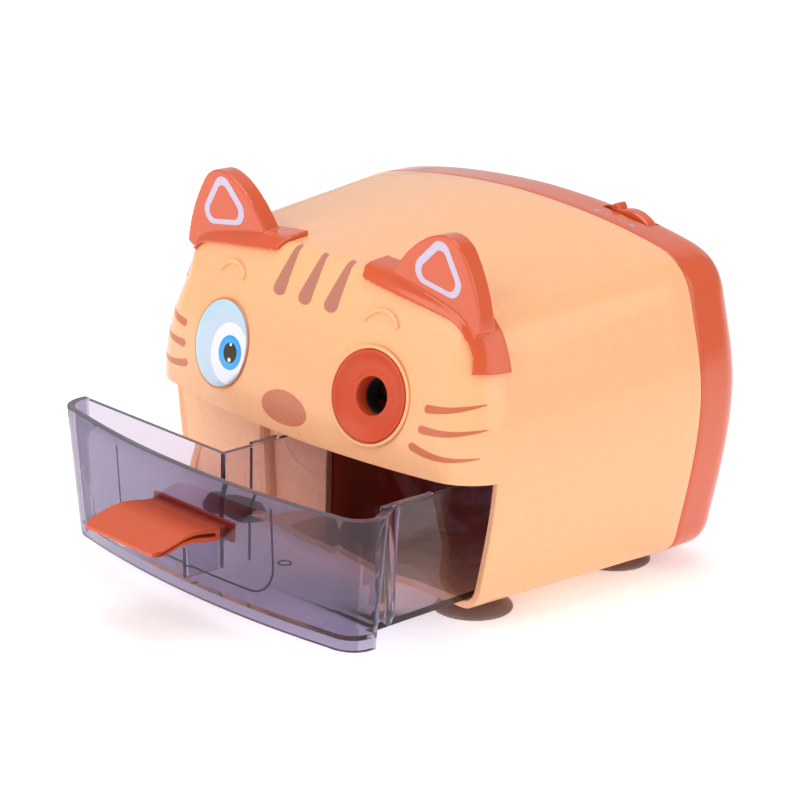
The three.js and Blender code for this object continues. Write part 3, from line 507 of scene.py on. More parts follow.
class Tree:
    """A short way to add and link shader nodes."""

    def __init__(self, name: str) -> None:
        """Start an empty material."""
        self.material = bpy.data.materials.new(name)
        self.material.use_nodes = True
        self.nodes = self.material.node_tree.nodes
        self.links = self.material.node_tree.links
        self.nodes.clear()
        self.place = self.nodes.new("ShaderNodeTexCoord").outputs["Object"]

    def add(self, kind: str, inputs: dict[str, float | Sequence[float]] | None = None) -> bpy.types.Node:
        """Add a shader node.

        Args:
            kind: the node's type.
            inputs: values of its sockets by name.

        Returns:
            The node.
        """
        node = self.nodes.new(f"ShaderNode{kind}")
        for name, value in (inputs or {}).items():
            node.inputs[name].default_value = value
        return node

    def link(self, source: Socket, target: Socket) -> None:
        """Join two sockets."""
        self.links.new(source, target)

    def noise(self, scale: float, detail: float = 3.0, stretch: Point = (1, 1, 1)) -> Socket:
        """Add a noise pattern on object coordinates.

        Args:
            scale: cells per metre.
            detail: octaves.
            stretch: scale of each axis.

        Returns:
            The factor output.
        """
        mapping = self.add("Mapping", {"Scale": stretch})
        self.link(self.place, mapping.inputs["Vector"])
        node = self.add("TexNoise", {"Scale": scale, "Detail": detail})
        self.link(mapping.outputs["Vector"], node.inputs["Vector"])
        return node.outputs["Fac"]

    def blend(self, factor: Socket, first: Colour, second: Colour) -> Socket:
        """Blend two colours by a pattern."""
        node = self.add("Mix")
        node.data_type = "RGBA"
        node.inputs["A"].default_value = (*first, 1)
        node.inputs["B"].default_value = (*second, 1)
        self.link(factor, node.inputs["Factor"])
        return node.outputs["Result"]

    def remap(self, factor: Socket, low: float, high: float) -> Socket:
        """Spread a pattern's middle range over low to high."""
        node = self.add("MapRange", {"From Min": 0.3, "From Max": 0.7, "To Min": low, "To Max": high})
        self.link(factor, node.inputs["Value"])
        return node.outputs["Result"]

    def bump(self, height: Socket, depth: float, strength: float = 0.5) -> Socket:
        """Add relief of this depth in millimetres."""
        node = self.add("Bump", {"Strength": strength, "Distance": depth * MM})
        self.link(height, node.inputs["Height"])
        return node.outputs["Normal"]

    def finish(self, shader: Socket) -> Material:
        """Send a shader to the output and give back the material."""
        self.link(shader, self.add("OutputMaterial").inputs["Surface"])
        return self.material


def shade_of(colour: Colour, factor: float) -> Colour:
    """Lighten or darken a colour."""
    return colour[0] * factor, colour[1] * factor, colour[2] * factor


@dataclass(frozen=True)
class MouldedPlastic:
    """Glossy injection-moulded plastic with faint flow marks and a fine grain."""

    name: str
    colour: Colour
    roughness: float = 0.22
    coat: float = 0.5
    grain: float = 0.0004
    flow: float = 0.006
    variation: float = 0.004

    def material(self) -> Material:
        """Build the finish."""
        tree = Tree(self.name)
        shader = tree.add("BsdfPrincipled", {"IOR": 1.5, "Coat Weight": self.coat, "Coat Roughness": 0.06})
        light, dark = shade_of(self.colour, 1 + self.variation), shade_of(self.colour, 1 - self.variation)
        tree.link(tree.blend(tree.noise(22, 2), dark, light), shader.inputs["Base Color"])
        wear = tree.noise(180, 4)
        tree.link(tree.remap(wear, self.roughness - 0.02, self.roughness + 0.03), shader.inputs["Roughness"])
        fine = tree.add("Math")
        fine.operation = "MULTIPLY_ADD"
        fine.inputs[1].default_value = self.grain / self.flow
        tree.link(tree.noise(2600, 2), fine.inputs[0])
        tree.link(tree.noise(35, 1), fine.inputs[2])
        tree.link(tree.bump(fine.outputs[0], self.flow, 0.15), shader.inputs["Normal"])
        return tree.finish(shader.outputs["BSDF"])


@dataclass(frozen=True)
class SmokePlastic:
    """Clear smoke-tinted plastic that lets lamps through."""

    name: str
    tint: Colour
    lamp_tint: Colour
    roughness: float = 0.03

    def material(self) -> Material:
        """Build the finish."""
        tree = Tree(self.name)
        glass = tree.add(
            "BsdfPrincipled",
            {
                "Roughness": self.roughness, "IOR": 1.16, "Specular IOR Level": 1,
                "Transmission Weight": 1, "Coat Weight": 0.5, "Coat Roughness": 0.04,
            },
        )
        tone = tree.blend(tree.noise(26, 2), shade_of(self.tint, 0.97), shade_of(self.tint, 1.03))
        tree.link(tone, glass.inputs["Base Color"])
        clear = tree.add("BsdfTransparent", {"Color": (*self.lamp_tint, 1)})
        mix = tree.add("MixShader")
        tree.link(tree.add("LightPath").outputs["Is Shadow Ray"], mix.inputs["Fac"])
        tree.link(glass.outputs["BSDF"], mix.inputs[1])
        tree.link(clear.outputs["BSDF"], mix.inputs[2])
        return tree.finish(mix.outputs["Shader"])


@dataclass(frozen=True)
class BrushedMetal:
    """Drawn or turned metal with fine marks along one axis."""

    name: str
    colour: Colour
    roughness: float = 0.32

    def material(self) -> Material:
        """Build the finish."""
        tree = Tree(self.name)
        shader = tree.add("BsdfPrincipled", {"Metallic": 1})
        marks = tree.noise(900, 3, (1, 0.04, 1))
        tone = tree.blend(marks, shade_of(self.colour, 0.88), shade_of(self.colour, 1.08))
        tree.link(tone, shader.inputs["Base Color"])
        tree.link(tree.remap(marks, self.roughness - 0.1, self.roughness + 0.12), shader.inputs["Roughness"])
        tree.link(tree.bump(marks, 0.01), shader.inputs["Normal"])
        return tree.finish(shader.outputs["BSDF"])


@dataclass(frozen=True)
class IrisPrint:
    """Printed iris with fine spokes and a darker rim."""

    name: str
    centre: Point
    inner: Colour
    outer: Colour
    radius: float

    def material(self) -> Material:
        """Build the finish."""
        tree = Tree(self.name)
        shader = tree.add("BsdfPrincipled", {"Coat Weight": 0.4})
        mapping = tree.add("Mapping", {"Location": [-v for v in to_frame(self.centre)]})
        tree.link(tree.place, mapping.inputs["Vector"])
        distance = tree.add("VectorMath")
        distance.operation = "LENGTH"
        tree.link(mapping.outputs["Vector"], distance.inputs[0])
        spread = tree.add("MapRange", {"From Min": self.radius * 0.55 * MM, "From Max": self.radius * MM})
        tree.link(distance.outputs["Value"], spread.inputs["Value"])
        tree.link(tree.blend(spread.outputs["Result"], self.inner, self.outer), shader.inputs["Base Color"])
        tree.link(tree.remap(tree.noise(220, 3), 0.18, 0.26), shader.inputs["Roughness"])
        return tree.finish(shader.outputs["BSDF"])


Palette = dict[str, Material]


def make_palette() -> Palette:
    """Build the object's finishes.

    Returns:
        The finishes by their keys.
    """
    iris_centre = (-23.7, face_y(-24, 59) - 1, 58.9)
    finishes = {
        "shell": MouldedPlastic("shell_peach", srgb(251, 184, 132), 0.27, 0.3),
        "orange": MouldedPlastic("trim_orange", srgb(215, 87, 43), 0.2, 0.5),
        "ring": MouldedPlastic("ring_orange", srgb(210, 76, 40), 0.42, 0.0),
        "handle": MouldedPlastic("handle_orange", srgb(208, 84, 44), 0.4, 0.1, grain=0.002),
        "liner": MouldedPlastic("liner_orange", srgb(214, 78, 34), 0.3, 0.3),
        "smoke": SmokePlastic("smoke_clear", srgb(160, 152, 176), srgb(205, 200, 214)),
        "smoke_thin": SmokePlastic("smoke_thin", srgb(221, 213, 228), srgb(237, 233, 241)),
        # Darker smoke for ridges and wall ends: painted shade for the dark lines that edges show in clear
        # plastic.
        "smoke_painted_dark_edge": SmokePlastic("smoke_painted_dark_edge", srgb(104, 96, 122), srgb(190, 184, 204)),
        # Dark opaque finish for the drawer's rims: painted shade for the dark lines that clear rims show.
        "smoke_rim_painted_shade": MouldedPlastic("smoke_rim_painted_shade", srgb(74, 70, 86), 0.2, 0.3),
        "mark": MouldedPlastic("mark_grey", srgb(182, 156, 156), 0.4, 0.0),
        # Darker orange for the ring round the eye disc: painted shade of the groove between disc and face.
        "groove": MouldedPlastic("groove_painted_shade", srgb(214, 128, 76), 0.4, 0.0),
        # Near-black rough finish for the pencil throat: painted shade for the dark depth of the bore.
        "throat_shade": MouldedPlastic("throat_painted_shade", srgb(14, 12, 12), 0.9, 0.0),
        "foot": MouldedPlastic("foot_grey", srgb(126, 107, 103), 0.38, 0.2, grain=0.003),
        "stripe": MouldedPlastic("print_stripe", srgb(190, 122, 102), 0.3, 0.25),
        "whisker": MouldedPlastic("print_whisker", srgb(206, 108, 72), 0.3, 0.25),
        "nose": MouldedPlastic("print_nose", srgb(208, 122, 84), 0.3, 0.25),
        "lavender": MouldedPlastic("print_lavender", srgb(208, 192, 214), 0.35, 0.1),
        "eye_rim": MouldedPlastic("eye_pale_blue", srgb(186, 220, 236), 0.2, 0.3),
        "eye_shadow": MouldedPlastic("eye_grey_blue", srgb(200, 216, 236), 0.2, 0.3),
        "eye_white": MouldedPlastic("eye_white", srgb(240, 240, 246), 0.2, 0.3),
        "pupil": MouldedPlastic("eye_pupil", srgb(54, 40, 6), 0.4, 0.0),
        "iris": IrisPrint("eye_iris", iris_centre, srgb(60, 184, 250), srgb(36, 158, 240), 4.8),
        "black": MouldedPlastic("black_plastic", srgb(34, 33, 35), 0.45, 0.0),
        "white": MouldedPlastic("gear_plastic", srgb(228, 224, 212), 0.45, 0.0),
        "steel": BrushedMetal("steel", srgb(186, 190, 196)),
        "brass": BrushedMetal("brass", srgb(196, 158, 84)),
        "board": MouldedPlastic("board_green", srgb(38, 96, 58), 0.4, 0.2),
        "cell": MouldedPlastic("cell_sleeve", srgb(62, 92, 140), 0.3, 0.4),
    }
    return {key: finish.material() for key, finish in finishes.items()}


@dataclass
class Assembly:
    """A sub-assembly whose pieces ride on one body and take their finishes from the palette."""

    palette: Palette
    body: ClassVar[Body] = Body.HOUSING

    def put(
        self, piece: Piece, finish: str, slot: Slot, angle: float | None = None, node: str | None = None
    ) -> None:
        """Shade and dress a piece, set it on the body, and report it.

        Args:
            piece: the finished piece.
            finish: key of its finish.
            slot: its slot in the record; not used.
            angle: corners over this many degrees stay sharp; None leaves the shading.
            node: the CAD node that it stands for.
        """
        if angle is not None:
            smooth(piece, angle)
        piece.data.materials.clear()
        piece.data.materials.append(self.palette[finish])
        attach(piece, self.body.value)
        if node is not None:
            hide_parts(node)
        LOG.info("%s: %d faces on %s", piece.name, len(piece.data.polygons), self.body.value)


# ---- surfaces that prints lie on


class Backing:
    """A surface that thin prints are laid on, looked at along one direction."""

    def __init__(self, piece: Piece, origin: float, direction: Point) -> None:
        """Keep a search tree of the piece.

        Args:
            piece: the piece that carries the print.
            origin: where the search starts along the direction's axis.
            direction: the search direction.
        """
        points = [(v.co.x / MM, v.co.y / MM - SHIFT_Y, v.co.z / MM) for v in piece.data.vertices]
        self.tree = BVHTree.FromPolygons(points, [tuple(p.vertices) for p in piece.data.polygons])
        self.direction = Vector(direction)
        self.origin = origin

    def drop(self, across: float, up: float, lift: float) -> Vector:
        """Find the place of a print's point.

        Args:
            across: X of the point.
            up: Z of the point on an upright print, Y on a lying one.
            lift: height over the surface in millimetres.

        Returns:
            The lifted point.
        """
        upright = abs(self.direction.y) > 0.5
        start = Vector((across, self.origin, up)) if upright else Vector((across, up, self.origin))
        hit, normal, _, _ = self.tree.ray_cast(start, self.direction)
        if hit is None:
            hit, normal, _, _ = self.tree.find_nearest(start + self.direction * 50)
        if normal.dot(self.direction) > 0:
            normal = -normal
        return hit + normal * lift


@dataclass
class Print:
    """Thin ink shapes laid on a surface."""

    backing: Backing
    lift: float = 0.07
    film: float = 0.12

    def _lay(self, name: str, rows: Sequence[Line], closed: bool, lift: float) -> Piece:
        """Lay rows of flat points on the surface as a closed film.

        Args:
            name: name of the piece.
            rows: rows with the same number of points.
            closed: whether each row is a ring.
            lift: height over the surface in millimetres.

        Returns:
            The piece.
        """
        top = [[self.backing.drop(x, z, lift) for x, z in row] for row in rows]
        inner = self.backing.direction * self.film
        width, count = len(rows[0]), len(rows)
        points = [p for row in top for p in row] + [p + inner for row in top for p in row]
        faces: list[tuple[int, ...]] = []
        under = width * count
        for i in range(count - 1):
            for quad in strip_faces(i * width, width, (i + 1) * width, closed):
                faces.append(quad)
                faces.append(tuple(under + v for v in reversed(quad)))
        if closed:
            border = [list(range((count - 1) * width, count * width))]
            if (Vector(rows[0][0]) - Vector(rows[0][1])).length > 1e-4:
                border.append(list(range(width)))
        else:
            border = [
                [*range(width), *[i * width + width - 1 for i in range(1, count)]]
                + [(count - 1) * width + i for i in range(width - 2, -1, -1)]
                + [i * width for i in range(count - 2, 0, -1)]
            ]
        for loop in border:
            for i, vertex in enumerate(loop):
                after = loop[(i + 1) % len(loop)]
                faces.append((vertex, after, under + after, under + vertex))
        piece = new_piece(name, points, faces)
        smooth(piece, 50)
        return piece

    def ribbon(self, name: str, spine: Line, half_width: Callable[[float], float]) -> Piece:
        """Lay a stroke along a spine.

        Args:
            name: name of the piece.
            spine: both ends of a smooth curve, with its control point between them.
            half_width: half the width at a share of the length.

        Returns:
            The piece.
        """
        start, middle, end = (Vector(p) for p in spine)
        shares = [step / 48 for step in range(49)]
        centre = [start.lerp(middle, share).lerp(middle.lerp(end, share), share) for share in shares]
        return self._stroke(name, centre, half_width, 6)

    def _stroke(
        self, name: str, centre: Sequence[Vector], half_width: Callable[[float], float], across: int
    ) -> Piece:
        """Lay a strip of quads along a centre line.

        Args:
            name: name of the piece.
            centre: points of the centre line.
            half_width: half the width at a share of the length.
            across: quads across the strip.

        Returns:
            The piece.
        """
        rows, last = [], len(centre) - 1
        for step, point in enumerate(centre):
            along = (centre[min(step + 1, last)] - centre[max(step - 1, 0)]).normalized()
            side = Vector((-along.y, along.x)) * half_width(step / last)
            rows.append([tuple(point + side * (2 * i / across - 1)) for i in range(across + 1)])
        return self._lay(name, rows, False, self.lift)

    def line(self, name: str, spine: Line, half_width: float) -> Piece:
        """Lay an even stroke, half_width to each side, along any number of points."""
        return self._stroke(name, [Vector(p) for p in spine], lambda _share: half_width, 2)

    def blob(self, name: str, loop: Line, layer: int = 0) -> Piece:
        """Lay a filled closed shape.

        Args:
            name: name of the piece.
            loop: the shape's border.
            layer: how many prints lie under it.

        Returns:
            The piece.
        """
        middle = sum((Vector(p) for p in loop), Vector((0, 0))) / len(loop)
        rows = [[tuple(middle.lerp(Vector(p), share / 10)) for p in loop] for share in range(11)]
        return self._lay(name, rows, True, self.lift * (1 + 0.8 * layer))

    def band(self, name: str, outer: Line, inner: Line) -> Piece:
        """Lay the band between two loops with as many points."""
        rows = [
            [tuple(Vector(a).lerp(Vector(b), share / 3)) for a, b in zip(inner, outer, strict=True)]
            for share in range(4)
        ]
        return self._lay(name, rows, True, self.lift)


def oval(
    x: float, z: float, half_width: float, half_height: float, steps: int = 72, egg: float = 0.0
) -> list[Flat]:
    """Draw an oval.

    Args:
        x: middle.
        z: middle.
        half_width: half the width.
        half_height: half the height.
        steps: points round it.
        egg: how much wider its lower part is.

    Returns:
        The loop.
    """
    loop = []
    for step in range(steps):
        angle = 2 * math.pi * step / steps
        width = half_width * (1 - egg * math.sin(angle))
        loop.append((x + width * math.cos(angle), z + half_height * math.sin(angle)))
    return loop


# ---- housing


def housing_form(inset: float) -> Piece:
    """Make the housing's closed outer form, moved inwards.

    Args:
        inset: distance moved inwards in millimetres.

    Returns:
        The closed form, from the face to a little behind the caps.
    """
    rings = OUTLINE.ring
    rows: list[list[Point]] = [[(x, 10.0, z) for x, z in (p.at_station(10.0, inset) for p in rings)]]
    for step in range(13):
        angle = math.pi / 2 * step / 12
        row: list[Point] = []
        for p in rings:
            radius = max(0.4, p.edge_radius() - inset)
            x, z = p.at_station(JAMB_Y, inset + radius * (1 - math.cos(angle)))
            row.append((x, face_y(x, z) + inset + radius * (1 - math.sin(angle)), z))
        rows.append(row)
    edge = rows[-1]
    for step in range(1, 13):
        share = 1 - step / 12
        row = []
        for x, _, z in edge:
            px, pz = x * share, FACE_CENTRE_Z + (z - FACE_CENTRE_Z) * share
            row.append((px, face_y(px, pz) + inset, pz))
        rows.append(row)
    return loft("housing_form", rows)


@dataclass
class Housing(Assembly):
    """The peach shell with its hood, jambs, underside and inner front wall."""

    wall: float = 2.0
    rounding: float = 0.7
    ring_hole: float = 12.3
    straight_rows: int = 8
    first_arc: int = 5
    second_arc: int = 14
    face_rows: int = 30

    def _path(self, ring: OutlinePoint, hood: bool, split: float) -> list[Point]:
        """Give a ring position's points from the seam to the jamb's front edge.

        Args:
            ring: the ring position.
            hood: whether it lies over the lip.
            split: angle at which hood and jamb part.

        Returns:
            The points.
        """
        radius = ring.edge_radius()
        x0, z0 = ring.at_station(JAMB_Y)
        start_y = face_y(x0, z0) + radius
        if not hood:
            start_y = max(start_y, JAMB_Y)
            split = self._split(ring)
        path: list[Point] = []
        for row in range(self.straight_rows + 1):
            share = row / self.straight_rows
            y = SEAM_Y + (start_y - SEAM_Y) * share
            path.append((ring.x + (x0 - ring.x) * share, y, ring.z + (z0 - ring.z) * share))
        for row in range(1, self.first_arc + 1):
            path.append(self._arc(ring, split * row / self.first_arc))
            if not hood and start_y <= JAMB_Y:
                path[-1] = (x0, JAMB_Y, z0)
        return path

    @staticmethod
    def _arc(ring: OutlinePoint, angle: float) -> Point:
        """Give a point of the rounding between wall and face."""
        radius = ring.edge_radius()
        x, z = ring.at_station(JAMB_Y, radius * (1 - math.cos(angle)))
        return x, face_y(x, z) + radius * (1 - math.sin(angle)), z

    def _split(self, ring: OutlinePoint) -> float:
        """Find the angle at which the rounding reaches the jamb's front edge."""
        low, high = 0.0, math.radians(80)
        if self._arc(ring, 0.0)[1] <= JAMB_Y:
            return 0.0
        for _ in range(40):
            middle = (low + high) / 2
            low, high = (middle, high) if self._arc(ring, middle)[1] > JAMB_Y else (low, middle)
        return low

    def _sheet(self) -> Piece:
        """Make the outer surface as an open sheet."""
        ring, hood = OUTLINE.ring, OUTLINE.hood_count
        split = self._split(ring[0])
        paths = [self._path(p, i < hood, split) for i, p in enumerate(ring)]
        rows = [[path[row] for path in paths] for row in range(len(paths[0]))]
        upper: list[list[Point]] = []
        for row in range(1, self.second_arc + 1):
            angle = split + (math.pi / 2 - split) * row / self.second_arc
            line = [self._arc(p, angle) for p in ring[:hood]]
            for end in (0, hood - 1):
                x, _, _ = line[end]
                radius = ring[end].edge_radius()
                line[end] = (x, face_y(x, LIP_Z) + radius * (1 - math.sin(angle)), LIP_Z)
            upper.append(line)
        edge = upper[-1]
        steps = [math.hypot(b[0] - a[0], b[2] - a[2]) for a, b in zip(edge, edge[1:], strict=False)]
        lengths = list(accumulate(steps, initial=0.0))
        for row in range(1, self.face_rows + 1):
            share = row / self.face_rows
            line = []
            for point, length in zip(edge, lengths, strict=True):
                base_x = edge[0][0] + (edge[-1][0] - edge[0][0]) * length / lengths[-1]
                x = point[0] + (base_x - point[0]) * share
                z = point[2] + (LIP_Z - point[2]) * share
                line.append((x, face_y(x, z), z))
            upper.append(line)
        points = [p for row in rows for p in row]
        faces: list[tuple[int, ...]] = []
        width = len(ring)
        for i in range(len(rows) - 1):
            faces += strip_faces(i * width, width, (i + 1) * width, True)
        previous, start = (len(rows) - 1) * width, len(points)
        for line in upper:
            faces += strip_faces(previous, hood, start, False)
            points += line
            previous, start = start, start + hood
        sheet = new_piece("housing_shell", points, faces, keep_order=True)
        face_out(sheet)
        return sheet

    def build(self) -> Piece:
        """Build the shell and its inner wall.

        Returns:
            The shell, as the backing of the prints.
        """
        shell = self._sheet()
        thicken(shell, self.wall)
        round_edges(shell, self.rounding, 55, 3)
        profile = [(0, -16), (self.ring_hole, -16), (self.ring_hole, 8), (0, 8)]
        combine(shell, turned("ring_hole", profile, face_frame(AXIS_X, AXIS_Z), closed=False))
        self.put(shell, "shell", Slot.SHELL, 35, "main_shell")
        self._inner_wall()
        return shell

    def _inner_wall(self) -> None:
        """Build the peach wall beside the drawer bay, with its step."""
        outline = [
            (-66.0, -38.62), (-28.4, -38.62), (-27.5, -37.4), (-27.5, -35.9), (-4.0, -35.9),
            (-4.0, -33.9), (-29.9, -33.9), (-29.9, -35.8), (-66.0, -35.8),
        ]
        wall = extrude_xy("bay_front_wall", outline, 5.5, 50)
        combine(wall, housing_form(0.8), "INTERSECT")
        round_edges(wall, 0.35, 40, 2)
        self.put(wall, "shell", Slot.SHELL, 38)
        prints = Print(Backing(wall, -60, (0, 1, 0)), lift=0.1, film=0.3)
        path = rounded_loop([(-24.6, 60), (-24.6, 24.0), (0, 22.0), (0, 60)], 9.0, 14)
        line = [p for p in path if p[1] < 46 and p[0] < -4.8]
        ridge = prints.line("bay_wall_ridge", line, 0.55)
        self.put(ridge, "shell", Slot.SHELL)
        self._bay_skin()

    def _bay_skin(self) -> None:
        """Build the orange skin inside the bay's right wall."""
        side = [p for p in OUTLINE.ring[OUTLINE.hood_count // 2 :] if p.x > -2 and 13 < p.z < 47.5]
        rows = []
        for y in (-37.2, -20.0, 0.0, 18.0):
            outer = [p.at_station(y, 2.05) for p in side]
            inner = [p.at_station(y, 2.4) for p in reversed(side)]
            rows.append([(x, y, z) for x, z in [*outer, *inner]])
        skin = loft("bay_skin", rows)
        self.put(skin, "liner", Slot.TRIM, 40)


def face_out(piece: Piece) -> None:
    """Turn an open sheet's faces away from its middle."""
    mesh = piece.data
    middle = sum((v.co for v in mesh.vertices), Vector()) / len(mesh.vertices)
    score = sum(p.area * p.normal.dot(p.center - middle) for p in mesh.polygons)
    if score < 0:
        mesh.flip_normals()


# ---- rear cover


@dataclass
class RearCover(Assembly):
    """The orange back with its wheel slot, vents, screw wells and inlet."""

    back: float = 50.2
    corner: float = 9.0
    wall: float = 2.4
    gap: float = 0.25
    well_depth: float = 38.4
    vents: int = 6
    vent_x: float = -44.7
    vent_pitch: float = 6

    def _point(self, ring: OutlinePoint, inward: float, y: float) -> Point:
        """Move a section point towards the middle of the cover."""
        core = Vector((max(-50.0, min(50.0, ring.x)), max(21.0, min(79.0, ring.z))))
        here = Vector((ring.x, ring.z))
        moved = here + (core - here).normalized() * inward
        return moved.x, y, moved.y

    def build(self) -> Piece:
        """Build the cover.

        Returns:
            The cover, as the backing of its dots.
        """
        front = SEAM_Y + self.gap
        depth = self.back - self.corner - front
        rows = [[self._point(p, 0, front + depth * i / 4) for p in OUTLINE.ring] for i in range(5)]
        for step in range(1, 13):
            angle = math.pi / 2 * step / 12
            inward = 0.4 * step / 12 + self.corner * (1 - math.cos(angle))
            y = self.back - self.corner * (1 - math.sin(angle))
            rows.append([self._point(p, inward, y) for p in OUTLINE.ring])
        edge = rows[-1]
        for share in (0.9, 0.6, 0.3, 0.0):
            middle = FACE_CENTRE_Z * (1 - share)
            rows.append([(x * share, self.back, middle + z * share) for x, _, z in edge])
        cover = loft("rear_cover_shell", rows, caps=False)
        face_out(cover)
        thicken(cover, self.wall)
        round_edges(cover, 0.45, 55, 2)
        combine(cover, block("slot", (25.6, 43.2), (38.9, 45.0), (84, 100)))
        combine(cover, self._drill((-43.7, 24), 5.5, 44, 48))
        for i in range(self.vents):
            x = self.vent_x + i * self.vent_pitch
            combine(cover, block("vent", (x - 1.3, x + 1.3), (self.back - 4, self.back + 1), (54, 74)))
        for place in self.screw_places():
            combine(cover, self._drill(place, 3.5, self.well_depth, 40))
        self.put(cover, "orange", Slot.TRIM, 32, "rear_cover")
        self._marks(cover)
        return cover

    @staticmethod
    def _drill(place: Flat, radius: float, start: float, segments: int) -> Piece:
        """Make a round tool that stands out of the back from a Y."""
        profile = [(0, start), (radius, start), (radius, 60), (0, 60)]
        return turned("drill", profile, axis_frame((place[0], 0, place[1]), (0, 1, 0)), segments, False)

    @staticmethod
    def screw_places() -> list[Flat]:
        """Give the places of the four cover screws."""
        return [(-60.3, 19), (60.3, 19), (-57.4, 80), (57.4, 80)]

    def _marks(self, cover: Piece) -> None:
        """Lay the row of dots that shows the adjuster's direction.

        Args:
            cover: the cover that carries them.
        """
        prints = Print(Backing(cover, 130, (0, 0, -1)), lift=0.05)
        dots = [
            (27.5, 34.7, 0.95), (31.2, 34.8, 0.42), (33.6, 34.8, 0.42), (36.0, 34.9, 0.42),
            (40.5, 35.0, 0.95),
        ]
        for number, (x, y, radius) in enumerate(dots, 1):
            dot = prints.blob(f"adjuster_mark_{number}", oval(x, y, radius, radius, 28))
            self.put(dot, "mark", Slot.TRIM)


# ---- caps and ears


@dataclass
class EarCap(Assembly):
    """An orange corner cap with its ear and the pale triangle on it."""

    side: int
    proud: float = 1.5
    proud_end: float = 0.35
    back: float = -32.6
    voxel: float = 0.33
    quick_voxel: float = 0.6

    def _curve(self, pieces: Sequence[tuple[Flat, Flat, Flat, Flat]], steps: int = 16) -> list[Flat]:
        """Sample joined curves, mirrored to this side."""
        points: list[Flat] = []
        for start, first, second, end in pieces:
            points += [bezier(start, first, second, end, i / steps) for i in range(steps)]
        points.append(pieces[-1][3])
        return [(self.side * x, z) for x, z in points]

    def build(self) -> None:
        """Build the cap, its ear and the triangle."""
        word = "left" if self.side < 0 else "right"
        region = self._curve(
            [
                ((17.4, 87.2), (28, 85.6), (40, 84.3), (47.6, 82.9)),
                ((47.6, 82.9), (54, 81.6), (57.2, 76), (57.6, 70.6)),
            ]
        )
        region += [(self.side * x, z) for x, z in ((80, 70.2), (80, 112), (15.6, 112), (15.6, 90))]
        ear = self._curve(
            [
                ((22.8, 86), (27.0, 94.2), (34.4, 101.6), (41.6, 103.4)),
                ((41.6, 103.4), (45.4, 104.4), (49.0, 103.2), (51.2, 99.8)),
                ((51.2, 99.8), (54.8, 94.2), (57.2, 88.4), (58.2, 81)),
            ]
        )
        ear += [(self.side * 50, 76), (self.side * 28, 80)]
        cap = self._skin(self.proud, region)
        if self.side < 0:
            combine(cap, block("outer_end", (-90, -52), (-80, -20), (60, 79.5)))
            combine(cap, self._skin(self.proud_end, region), "UNION")
        combine(cap, extrude_xz("plate", ear, -40.2, -34.8), "UNION")
        combine(cap, housing_form(0.1))
        cap.name = f"ear_cap_{word}_moulding"
        remesh = cap.modifiers.new("remesh", "REMESH")
        remesh.mode = "VOXEL"
        remesh.voxel_size = self.voxel * MM
        relax = cap.modifiers.new("relax", "SMOOTH")
        relax.factor = 0.5
        relax.iterations = 9
        bake_modifiers(cap)
        cap.data.shade_smooth()
        self.put(cap, "orange", Slot.TRIM, node=f"ear_cap_{word}")
        self._triangle(cap, word)

    def _skin(self, proud: float, region: Line) -> Piece:
        """Make the housing's form, this much larger, inside a region of X and Z."""
        form = housing_form(-proud)
        combine(form, extrude_xz("region", region, -70, self.back), "INTERSECT")
        return form

    def _triangle(self, cap: Piece, word: str) -> None:
        """Lay the pale triangle on the ear's front.

        Args:
            cap: the cap that carries it.
            word: the side's name.
        """
        prints = Print(Backing(cap, -90, (0, 1, 0)))
        corners = [(29.6, 90.8), (43.8, 104.2), (54.4, 86.8)]
        inner = [tuple(Vector((42.8, 93.4)).lerp(Vector(p), 0.7)) for p in corners]
        loops = [
            [(self.side * x, z) for x, z in rounded_loop(loop, radius, 10)]
            for loop, radius in ((corners, 3.7), (inner, 2.3))
        ]
        band = prints.band(f"ear_triangle_{word}", *loops)
        self.put(band, "lavender", Slot.TRIM)


# ---- face


